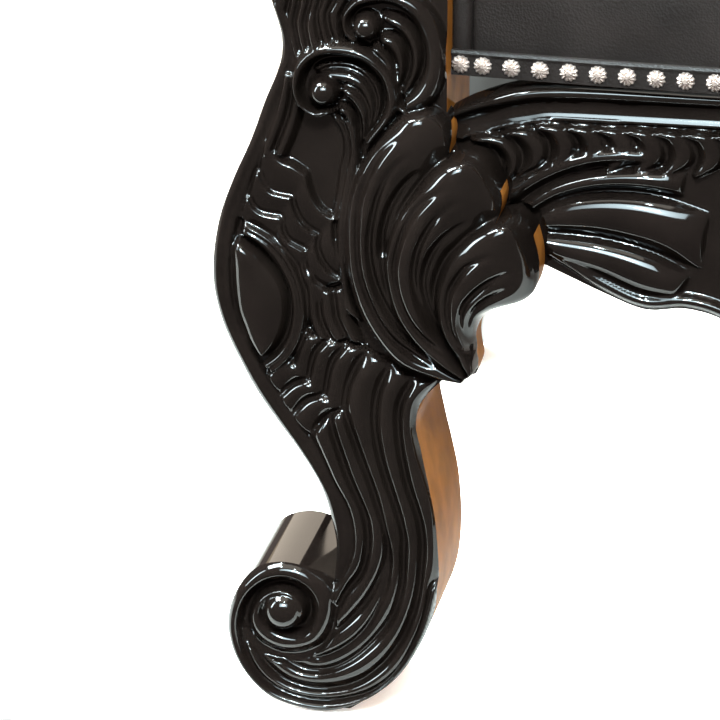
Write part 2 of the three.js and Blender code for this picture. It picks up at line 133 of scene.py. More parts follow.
def combine(piece: bpy.types.Object, other: bpy.types.Object, operation: str) -> None:
    """Boolean one closed piece with another, which is used up.

    Args:
        piece: The piece that stays.
        other: The piece that is consumed.
        operation: UNION, INTERSECT or DIFFERENCE.
    """
    apply_modifier(piece, "BOOLEAN", operation=operation, object=other, solver="MANIFOLD")
    bpy.data.objects.remove(other)


def shade_smooth(piece: bpy.types.Object, degrees: float) -> None:
    """Shade a piece smooth, with sharp edges past an angle."""
    activate(piece)
    bpy.ops.object.shade_smooth_by_angle(angle=math.radians(degrees))


def shade_carving(piece: bpy.types.Object, degrees: float) -> None:
    """Shade a carved board smooth, sharp only where a wall meets another face.

    Args:
        piece: The board, its carving still facing along -Y.
        degrees: Angle past which an edge of a wall is sharp.
    """
    activate(piece)
    bpy.ops.object.shade_smooth()
    mesh = piece.data
    normals = np.empty(3 * len(mesh.polygons))
    mesh.polygons.foreach_get("normal", normals)
    normals = normals.reshape(-1, 3)
    owner = np.repeat(np.arange(len(mesh.polygons)), [p.loop_total for p in mesh.polygons])
    edge = np.empty(len(mesh.loops), int)
    mesh.loops.foreach_get("edge_index", edge)
    order = np.argsort(edge, kind="stable")
    faces = owner[order].reshape(-1, 2)
    bend = np.einsum("ij,ij->i", normals[faces[:, 0]], normals[faces[:, 1]])
    wall = np.abs(normals[faces, 1]).min(axis=1) < WALL_TILT
    sharp = (bend < math.cos(math.radians(degrees))) & wall
    mesh.attributes.new("sharp_edge", "BOOLEAN", "EDGE").data.foreach_set("value", sharp)


def even_walls(piece: bpy.types.Object, outlines: list, place: Vector, mirror: bool = False) -> None:
    """Shade the side walls of a board by the flowing direction of its outline.

    Args:
        piece: The board, in its place.
        outlines: Closed outlines that its walls follow, in millimetres.
        place: Where the drawing's origin stands.
        mirror: Whether the board is the mirror image of its drawing.
    """
    spots, ways = [], []
    for outline in outlines:
        line = np.array(outline)
        ahead = np.roll(line, -1, axis=0) - line
        length = np.linalg.norm(ahead, axis=1)
        line, ahead = line[length > 1e-6], ahead[length > 1e-6] / length[length > 1e-6][:, None]
        way = np.column_stack([ahead[:, 1], -ahead[:, 0]])
        before, after = np.roll(way, 1, axis=0), np.roll(way, -1, axis=0)
        start = np.where((np.einsum("ij,ij->i", way, before) > 0.9)[:, None], way + before, way)
        end = np.where((np.einsum("ij,ij->i", way, after) > 0.9)[:, None], way + after, way)
        start /= np.linalg.norm(start, axis=1)[:, None]
        end /= np.linalg.norm(end, axis=1)[:, None]
        for here, there, first, last in zip(line, np.roll(line, -1, axis=0), start, end):
            count = max(2, int(np.linalg.norm(there - here) / WALL_STEP))
            share = np.linspace(0, 1, count, endpoint=False)[:, None]
            spots.append(here + (there - here) * share)
            ways.append(first + (last - first) * share)
    spots, ways = np.concatenate(spots) * MM, np.concatenate(ways)
    side = -1 if mirror else 1
    tree = kdtree.KDTree(len(spots))
    for index, (x, z) in enumerate(spots):
        tree.insert((side * (x + place.x), 0, z + place.z), index)
    tree.balance()
    mesh = piece.data
    corners = np.empty(3 * len(mesh.loops))
    mesh.corner_normals.foreach_get("vector", corners)
    corners = corners.reshape(-1, 3)
    for face in mesh.polygons:
        if abs(face.normal.y) < WALL_TILT:
            for loop in face.loop_indices:
                x, _, z = mesh.vertices[mesh.loops[loop].vertex_index].co
                _, index, gap = tree.find((x, 0, z))
                way = Vector((side * ways[index][0], 0, ways[index][1])).normalized()
                agree = way.dot(face.normal)
                if gap < 0.001 and abs(agree) > 0.85:
                    corners[loop] = way * math.copysign(1, agree)
    mesh.normals_split_custom_set(corners)


def mirrored_copy(piece: bpy.types.Object, name: str) -> bpy.types.Object:
    """Copy a piece with its own mesh, mirrored across the middle plane.

    Args:
        piece: The piece on the +X side.
        name: Name of the copy.

    Returns:
        The mirrored piece, with its faces outward.
    """
    copy = piece.copy()
    copy.data = piece.data.copy()
    copy.name = name
    bpy.context.scene.collection.objects.link(copy)
    for vertex in copy.data.vertices:
        vertex.co.x = -vertex.co.x
    copy.data.flip_normals()
    return copy


# Curves in a board's drawing, in millimetres


def smooth_path(points: Rail, step: float) -> np.ndarray:
    """Run a centripetal Catmull-Rom curve through drawing points.

    Args:
        points: Points the curve passes through.
        step: Largest distance between samples.

    Returns:
        Samples as an array of x and z.
    """
    p = np.array(points, float)
    p = np.vstack([2 * p[0] - p[1], p, 2 * p[-1] - p[-2]])
    runs = []
    for i in range(1, len(p) - 2):
        gaps = np.sqrt(np.linalg.norm(np.diff(p[i - 1:i + 3], axis=0), axis=1)) + 1e-9
        knots = np.concatenate([[0.0], np.cumsum(gaps)])
        count = max(2, int(np.ceil(np.linalg.norm(p[i + 1] - p[i]) / step)))
        t = np.linspace(knots[1], knots[2], count, endpoint=False)[:, None]
        level = [p[i - 1 + k] for k in range(4)]
        for depth in range(1, 4):
            spans = [(k, k + depth) if depth < 3 else (1, 2) for k in range(4 - depth)]
            level = [((knots[b] - t) * level[k] + (t - knots[a]) * level[k + 1]) / (knots[b] - knots[a])
                     for k, (a, b) in enumerate(spans)]
        runs.append(level[0])
    runs.append(p[-2][None])
    return np.vstack(runs)


def even(path: np.ndarray, count: int) -> np.ndarray:
    """Resample a path at equal distances.

    Args:
        path: Samples along a curve.
        count: Number of samples wanted.

    Returns:
        The resampled path.
    """
    reach = np.concatenate([[0.0], np.cumsum(np.linalg.norm(np.diff(path, axis=0), axis=1))])
    at = np.linspace(0, reach[-1], count)
    return np.column_stack([np.interp(at, reach, path[:, k]) for k in (0, 1)])


@dataclass(frozen=True)
class Section:
    """Cross-section of a carved strip, in millimetres above its board."""

    left: float = 4.0
    right: float = 4.0
    crown: float = 4.0
    peak: float = 0.5
    full: float = 1.0
    ribs: int = 0
    rib: float = 0.0
    head: float = 0.1
    tail: float = 1.0

    def height(self, s: np.ndarray, t: np.ndarray) -> np.ndarray:
        """Height over the board across (s) and along (t) the strip.

        Args:
            s: From 0 at the left rail to 1 at the right one.
            t: From 0 at the head to 1 at the tail.

        Returns:
            The heights.
        """
        bent = s ** (math.log(0.5) / math.log(self.peak))
        arch = np.sin(np.pi * np.clip(bent, 0, 1)) ** self.full
        start = np.sqrt(np.clip(1 - (1 - np.minimum(t / max(self.head, 1e-6), 1)) ** 2, 0, 1))
        fade = 1 - (1 - self.tail) * t
        beads = self.rib * np.abs(np.sin(np.pi * self.ribs * s)) if self.ribs else 0.0
        return (self.left * (1 - s) + self.right * s + (self.crown * arch + beads) * start) * fade


class Canvas:
    """Heights of carving over a board's front plane, on a square grid in millimetres."""

    CELL = 0.5
    SAMPLE = 0.3

    def __init__(self, low: Point, high: Point) -> None:
        """Make a flat canvas between two corners of the drawing.

        Args:
            low: Lower corner at the small x.
            high: Upper corner at the large x.
        """
        self.low = np.array(low, float)
        self.shape = tuple(int(round((high[k] - low[k]) / self.CELL)) + 1 for k in (0, 1))
        self.height = np.zeros(self.shape)

    def field(self, left: np.ndarray, right: np.ndarray, value: Callable) -> tuple:
        """Spread a strip's values over the cells that it covers.

        Args:
            left: Samples of one rail.
            right: Samples of the other rail, as many.
            value: Function of s and t that gives the value.

        Returns:
            The index window, the values and the mask of covered cells.
        """
        width = np.linalg.norm(left - right, axis=1).max()
        across = max(4, int(np.ceil(width / self.SAMPLE)) + 1)
        s = np.linspace(0, 1, across)[None, :]
        reach = np.linspace(0, 1, len(left))[:, None]
        spots = left[:, None, :] * (1 - s[..., None]) + right[:, None, :] * s[..., None]
        values = np.broadcast_to(value(s, reach), spots.shape[:2]).ravel()
        cells = (spots.reshape(-1, 2) - self.low) / self.CELL
        first = np.maximum(np.floor(cells.min(axis=0)).astype(int) - 1, 0)
        last = np.minimum(np.ceil(cells.max(axis=0)).astype(int) + 2, self.shape)
        size = last - first
        inside = np.all((cells >= first) & (cells < last - 1), axis=1)
        cells, values = cells[inside] - first, values[inside]
        base = np.floor(cells).astype(int)
        part = cells - base
        total = np.zeros(size[0] * size[1])
        weight = np.zeros_like(total)
        for dx in (0, 1):
            for dz in (0, 1):
                share = np.abs(1 - dx - part[:, 0]) * np.abs(1 - dz - part[:, 1])
                spot = (base[:, 0] + dx) * size[1] + base[:, 1] + dz
                total += np.bincount(spot, share * values, len(total))
                weight += np.bincount(spot, share, len(total))
        weight = weight.reshape(size)
        mask = weight > 0.25
        window = (slice(first[0], last[0]), slice(first[1], last[1]))
        return window, total.reshape(size) / np.maximum(weight, 1e-9), mask

    def rails(self, left: Rail, right: Rail, matched: bool) -> tuple[np.ndarray, np.ndarray]:
        """Sample two rails so that their samples pair up.

        Args:
            left: Points of one rail.
            right: Points of the other.
            matched: Pair the rails point by point, not by their length.

        Returns:
            Both rails with the same number of samples.
        """
        a, b = smooth_path(left, self.SAMPLE), smooth_path(right, self.SAMPLE)
        count = max(len(a), len(b))
        if not matched:
            return even(a, count), even(b, count)
        span = len(left) - 1
        t = np.linspace(0, span, span * max(4, math.ceil(count / span)) + 1)
        return tuple(self.by_parameter(rail, t) for rail in (left, right))

    @staticmethod
    def by_parameter(points: Rail, t: np.ndarray) -> np.ndarray:
        """Sample a rail where point k stands at t = k.

        Args:
            points: Points of the rail.
            t: Where to sample it.

        Returns:
            The samples.
        """
        runs = []
        for k in range(len(points) - 1):
            near = points[max(0, k - 1):k + 3]
            dense = smooth_path(near, 0.1)
            a = np.argmin(np.linalg.norm(dense - points[k], axis=1))
            b = np.argmin(np.linalg.norm(dense - points[k + 1], axis=1))
            own = t[(t >= k) & (t < k + 1)] - k
            runs.append(even(dense[a:b + 1], 200)[np.minimum((own * 199).astype(int), 199)])
        return np.vstack([*runs, np.array(points[-1])[None]])

    def raised(self, left: Rail, right: Rail, section: Section, matched: bool = False) -> None:
        """Raise a carved strip between two rails."""
        a, b = self.rails(left, right, matched)
        self.lay(a, b, section.height)

    def lay(self, a: np.ndarray, b: np.ndarray, value: Callable) -> None:
        """Keep the higher of the carving so far and a new strip.

        Args:
            a: Samples of one rail.
            b: Samples of the other.
            value: Height as a function of s and t.
        """
        window, values, mask = self.field(a, b, value)
        now = self.height[window]
        self.height[window] = np.where(mask, np.maximum(now, values), now)

    def sides_of(self, points: Rail, start: float, end: float) -> tuple[np.ndarray, np.ndarray]:
        """Offset a path to both sides.

        Args:
            points: Points of the middle line.
            start: Width at its start.
            end: Width at its end.

        Returns:
            The two rails.
        """
        line = smooth_path(points, self.SAMPLE)
        line = even(line, len(line))
        ahead = np.gradient(line, axis=0)
        ahead /= np.linalg.norm(ahead, axis=1)[:, None]
        t = np.linspace(0, 1, len(line))
        half = (start * (1 - t) + end * t) / 2
        side = np.column_stack([-ahead[:, 1], ahead[:, 0]]) * half[:, None]
        return line + side, line - side

    def band(self, points: Rail, start: float, end: float, section: Section) -> None:
        """Raise a band of a given width along a path."""
        self.lay(*self.sides_of(points, start, end), section.height)

    def groove(self, points: Rail, width: float, depth: float, soft_start: float = 0.15,
               soft_end: float = 0.1) -> None:
        """Cut a round-shouldered groove along a path.

        Args:
            points: Points of its bottom line.
            width: Width between its shoulders.
            depth: Depth at its bottom.
            soft_start: Share of its length in which it deepens.
            soft_end: Share of its length in which it fades.
        """
        def cut(s: np.ndarray, t: np.ndarray) -> np.ndarray:
            """Depth across and along the groove."""
            ends = np.clip(t / soft_start, 0, 1) * np.clip((1 - t) / soft_end, 0, 1)
            return depth * (1 - np.abs(2 * s - 1)) ** 1.7 * np.sin(np.pi / 2 * ends)
        window, values, mask = self.field(*self.sides_of(points, width, width), cut)
        self.height[window] -= np.where(mask, values, 0.0)

    def places(self, centre: Point) -> tuple[np.ndarray, np.ndarray]:
        """Distances of all cells from a place, across and up."""
        across, up = (self.low[k] + self.CELL * np.arange(self.shape[k]) - centre[k] for k in (0, 1))
        return across[:, None], up[None, :]

    def dome(self, centre: Point, rx: float, rz: float, height: float, base: float) -> None:
        """Raise an oval dome.

        Args:
            centre: Its middle in the drawing.
            rx: Half of its size across.
            rz: Half of its size up.
            height: Rise of its top over its base.
            base: Height of its edge.
        """
        x, z = self.places(centre)
        reach = (x / rx) ** 2 + (z / rz) ** 2
        rise = base + height * np.sqrt(np.clip(1 - reach, 0, 1))
        self.height = np.where(reach < 1, np.maximum(self.height, rise), self.height)

    def mirror(self) -> None:
        """Copy the half at +X over the other one, on a canvas that is centred."""
        middle = self.shape[0] // 2
        self.height[:middle] = self.height[:middle:-1]

    def at(self, x: np.ndarray, z: np.ndarray) -> np.ndarray:
        """Height at places of the drawing, between cells by proportion.

        Args:
            x: Places across.
            z: Places up.

        Returns:
            The heights.
        """
        u = np.clip((x - self.low[0]) / self.CELL, 0, self.shape[0] - 1.001)
        v = np.clip((z - self.low[1]) / self.CELL, 0, self.shape[1] - 1.001)
        i, j = u.astype(int), v.astype(int)
        a, b = u - i, v - j
        h = self.height
        return ((h[i, j] * (1 - a) + h[i + 1, j] * a) * (1 - b)
                + (h[i, j + 1] * (1 - a) + h[i + 1, j + 1] * a) * b)


def blurred(values: np.ndarray, sigma: float) -> np.ndarray:
    """Soften a grid of values.

    Args:
        values: The grid.
        sigma: Spread in cells.

    Returns:
        The softened grid.
    """
    reach = int(np.ceil(3 * sigma))
    weights = np.exp(-0.5 * (np.arange(-reach, reach + 1) / sigma) ** 2)
    weights /= weights.sum()
    for axis in (0, 1):
        padded = np.pad(values, [(reach, reach) if k == axis else (0, 0) for k in (0, 1)], mode="edge")
        count = values.shape[axis]
        values = sum(w * np.take(padded, range(k, k + count), axis=axis) for k, w in enumerate(weights))
    return values


def outline_of(*runs: Rail, step: float = 2.0) -> Rail:
    """Join smooth runs into one closed outline, with a corner where runs meet.

    Args:
        runs: Runs of points, each starting where the last one ends.
        step: Largest distance between samples.

    Returns:
        The corners, each given once.
    """
    points: Rail = []
    for run in runs:
        sampled = smooth_path(run, step) if len(run) > 2 else np.array(run, float)
        points += [tuple(p) for p in (sampled[1:] if points else sampled)]
    if math.dist(points[0], points[-1]) < 0.5:
        points.pop()
    return points


def prism(name: str, outline: Rail, front: float, back: float) -> bpy.types.Object:
    """Extrude a drawing outline into a closed block.

    Args:
        name: Name of the block.
        outline: Corners in millimetres.
        front: Height of its front above the board's plane, in millimetres.
        back: Depth of its back, in millimetres.

    Returns:
        The block in metres, with depth along +Y.
    """
    count = len(outline)
    area = sum(a[0] * b[1] - b[0] * a[1] for a, b in zip(outline, outline[1:] + outline[:1]))
    ring = outline if area > 0 else outline[::-1]
    points = [(x * MM, y * MM, z * MM) for y in (-front, back) for x, z in ring]
    faces = [list(range(count)), list(range(2 * count - 1, count - 1, -1))]
    faces += [[(i + 1) % count, i, i + count, (i + 1) % count + count] for i in range(count)]
    return mesh_piece(name, points, faces)


def slab(name: str, canvas: Canvas, xs: np.ndarray, zs: np.ndarray, back: float) -> bpy.types.Object:
    """Make a closed slab whose front carries the carving.

    Args:
        name: Name of the slab.
        canvas: The carving.
        xs: Grid lines across, in millimetres.
        zs: Grid lines up, in millimetres.
        back: Depth of its back, in millimetres.

    Returns:
        The slab in metres.
    """
    gx, gz = np.meshgrid(xs, zs, indexing="ij")
    front = -canvas.at(gx, gz)
    points = np.column_stack([gx.ravel(), front.ravel(), gz.ravel()]) * MM
    nx, nz = len(xs), len(zs)
    number = np.arange(nx * nz).reshape(nx, nz)
    corners = [number[:-1, :-1], number[1:, :-1], number[1:, 1:], number[:-1, 1:]]
    quads = np.stack(corners, axis=-1).reshape(-1, 4)
    rim = np.concatenate([number[:, 0], number[-1, 1:], number[-2::-1, -1], number[0, -2:0:-1]])
    low = points[rim].copy()
    low[:, 1] = back * MM
    base = len(points)
    count = len(rim)
    turn = np.roll(np.arange(count), -1)
    walls = np.column_stack([rim[turn], rim, base + np.arange(count), base + turn])
    faces = quads.tolist() + walls.tolist() + [(base + np.arange(count))[::-1].tolist()]
    return mesh_piece(name, np.vstack([points, low]).tolist(), faces)


# Finishes and light


KNEE = (-0.30, -0.35, 0.30)
ICE = (0.80, 0.97, 1.0)
FROST = (0.78, 0.97, 1.0)
SMALL = (0.15, 0.15)
SMALLEST = (0.10, 0.10)
PANEL = (0.14, 0.14)


class Lamp(Enum):
    """Studio lamps as size, power, spread in degrees, place, aim and colour."""

    REAR = ((3.0, 1.0), 30.0, 180.0, (-0.2, 2.6, 1.1), (-0.2, 0.3, 0.0), (1.0, 0.93, 0.86))
    SKY = ((3.0, 3.0), 190.0, 180.0, (-0.5, -0.7, 4.0), (-0.5, -0.6, 0.0), (1.0, 0.95, 0.84))
    WALL = ((3.2, 1.3), 34.0, 180.0, (-0.6, 3.2, 1.35), (-0.3, -0.3, 0.3), (1.0, 0.80, 0.52))
    WINDOW = ((0.9, 0.9), 44.0, 60.0, (-1.45, -0.45, 2.15), KNEE, (0.86, 0.97, 1.0))
    SIDE = ((0.35, 1.4), 16.0, 60.0, (-2.3, -1.0, 1.2), (-0.30, -0.35, 0.25), (0.80, 0.95, 1.0))
    GLOW = ((2.0, 0.8), 44.0, 60.0, (-0.15, -2.00, 1.92), KNEE, (0.74, 0.93, 1.0))
    SPOT_A = (SMALL, 9.0, 60.0, (-0.22, -1.95, 1.90), KNEE, ICE)
    SPOT_B = (SMALL, 9.0, 60.0, (0.12, -1.95, 1.90), KNEE, ICE)
    SPOT_C = (SMALLEST, 3.0, 60.0, (-0.05, -1.30, 2.35), KNEE, ICE)
    SPOT_D = (SMALLEST, 3.0, 60.0, (-1.05, -1.00, 2.35), KNEE, ICE)
    CEILING_A = (PANEL, 5.0, 60.0, (-0.70, -0.05, 2.45), KNEE, FROST)
    CEILING_B = (PANEL, 5.0, 60.0, (-0.25, -0.05, 2.45), KNEE, FROST)
    CEILING_C = (PANEL, 5.0, 60.0, (-1.15, 0.45, 2.35), KNEE, FROST)
    CEILING_D = (PANEL, 5.0, 60.0, (-0.70, 0.45, 2.40), KNEE, FROST)


@dataclass(frozen=True)
class Finish:
    """What the finishes share: tint and gloss that drift in soft clouds, and a fine grain.

    The tints are places on the ramp with a share of the base colour, the gloss is the way
    down and up from the roughness, and the grain is a texture node with its settings, its
    output and the strength and distance of the bump.
    """

    name: str
    base: tuple
    roughness: float
    clouds: float
    detail: float
    tints: tuple
    gloss: tuple
    grain: tuple = ()

    def sockets(self) -> dict[str, float]:
        """Settings of the shader beyond its colour and roughness."""
        return {}

    def material(self) -> bpy.types.Material:
        """Build the material from Object coordinates.

        Returns:
            The material.
        """
        material = bpy.data.materials.new(self.name)
        material.use_nodes = True
        nodes, links = material.node_tree.nodes, material.node_tree.links
        shader = nodes["Principled BSDF"]
        for socket, value in self.sockets().items():
            shader.inputs[socket].default_value = value
        place = nodes.new("ShaderNodeTexCoord")
        cloud = nodes.new("ShaderNodeTexNoise")
        cloud.inputs["Scale"].default_value = self.clouds
        cloud.inputs["Detail"].default_value = self.detail
        links.new(place.outputs["Object"], cloud.inputs["Vector"])
        tint = nodes.new("ShaderNodeValToRGB")
        for element, (position, share) in zip(tint.color_ramp.elements, self.tints):
            element.position = position
            element.color = (*[c * share for c in self.base], 1)
        links.new(cloud.outputs["Fac"], tint.inputs["Fac"])
        links.new(tint.outputs["Color"], shader.inputs["Base Color"])
        gloss = nodes.new("ShaderNodeMapRange")
        gloss.inputs["To Min"].default_value = self.roughness - self.gloss[0]
        gloss.inputs["To Max"].default_value = self.roughness + self.gloss[1]
        links.new(cloud.outputs["Fac"], gloss.inputs["Value"])
        links.new(gloss.outputs["Result"], shader.inputs["Roughness"])
        if self.grain:
            kind, settings, output, strength, distance = self.grain
            pattern = nodes.new(kind)
            for socket, value in settings.items():
                pattern.inputs[socket].default_value = value
            links.new(place.outputs["Object"], pattern.inputs["Vector"])
            bump = nodes.new("ShaderNodeBump")
            bump.inputs["Strength"].default_value = strength
            bump.inputs["Distance"].default_value = distance
            links.new(pattern.outputs[output], bump.inputs["Height"])
            links.new(bump.outputs["Normal"], shader.inputs["Normal"])
        return material


@dataclass(frozen=True)
class Lacquer(Finish):
    """Gloss lacquer over carved wood."""

    name: str = "black_lacquer"
    base: tuple = (0.0024, 0.0016, 0.0013)
    roughness: float = 0.30
    clouds: float = 35.0
    detail: float = 5.0
    tints: tuple = ((0.3, 0.75), (0.72, 1.3))
    gloss: tuple = (0.07, 0.1)
    grain: tuple = ("ShaderNodeTexNoise", {"Scale": 260.0, "Detail": 3.0}, "Fac", 0.10, 0.001)
    coat: float = 0.34

    def sockets(self) -> dict[str, float]:
        """A clear coat over wood that has no shine of its own."""
        return {"Coat Weight": self.coat, "Coat Roughness": 0.06, "Coat IOR": 1.5, "Specular IOR Level": 0.0}


@dataclass(frozen=True)
class Leather(Finish):
    """Matt dark leather with a fine pebbled grain."""

    name: str = "dark_leather"
    base: tuple = (0.0048, 0.0032, 0.0027)
    roughness: float = 0.50
    clouds: float = 18.0
    detail: float = 6.0
    tints: tuple = ((0.3, 0.7), (0.75, 1.45))
    gloss: tuple = (0.08, 0.12)
    grain: tuple = ("ShaderNodeTexVoronoi", {"Scale": 700.0}, "Distance", 0.35, 0.0006)

    def sockets(self) -> dict[str, float]:
        """A low shine."""
        return {"Specular IOR Level": 0.12}


@dataclass(frozen=True)
class Silver(Finish):
    """Warm silver of the nailheads, darker in the hollows of its grain."""

    name: str = "nail_silver"
    base: tuple = (0.40, 0.325, 0.29)
    roughness: float = 0.32
    clouds: float = 900.0
    detail: float = 2.0
    tints: tuple = ((0.3, 0.7), (0.65, 1.0))
    gloss: tuple = (0.06, 0.12)

    def sockets(self) -> dict[str, float]:
        """Metal under a thin tarnish."""
        return {"Metallic": 0.85}


@dataclass(frozen=True)
class Backing:
    """Plain matt finish of the floor, a table lit a little from below."""

    name: str
    colour: tuple
    roughness: float = 0.9
    glow: float = 0.7

    def material(self) -> bpy.types.Material:
        """Build the plain material.

        Returns:
            The material.
        """
        material = bpy.data.materials.new(self.name)
        material.use_nodes = True
        shader = material.node_tree.nodes["Principled BSDF"]
        shader.inputs["Base Color"].default_value = (*self.colour, 1)
        shader.inputs["Roughness"].default_value = self.roughness
        shader.inputs["Emission Color"].default_value = (*self.colour, 1)
        shader.inputs["Emission Strength"].default_value = self.glow
        return material


def finish(piece: bpy.types.Object, material: bpy.types.Material) -> None:
    """Dress a piece and let it ride on the throne.

    Args:
        piece: The piece.
        material: Its material.
    """
    piece.data.materials.clear()
    piece.data.materials.append(material)
    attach(piece, BODY)
    log.info("%s: %d faces", piece.name, len(piece.data.polygons))


def paint_wall_reflection(piece: bpy.types.Object, wall_reflection_paint: bpy.types.Material) -> None:
    """Give the inner side walls of a carved board a thinner coat over a brown base, a painted reflection of a
    warm floor.

    Args:
        piece: The board, in its place.
        wall_reflection_paint: Material of the walls.
    """
    # Only inner walls that do not face up get the brown painted reflection.
    most_upward, least_inward = 0.3, 0.2
    piece.data.materials.append(wall_reflection_paint)
    for face in piece.data.polygons:
        inward = -math.copysign(1, face.center.x) * face.normal.x
        face.material_index = int(
            abs(face.normal.y) < WALL_TILT and face.normal.z < most_upward and inward > least_inward)


# Sub-assemblies


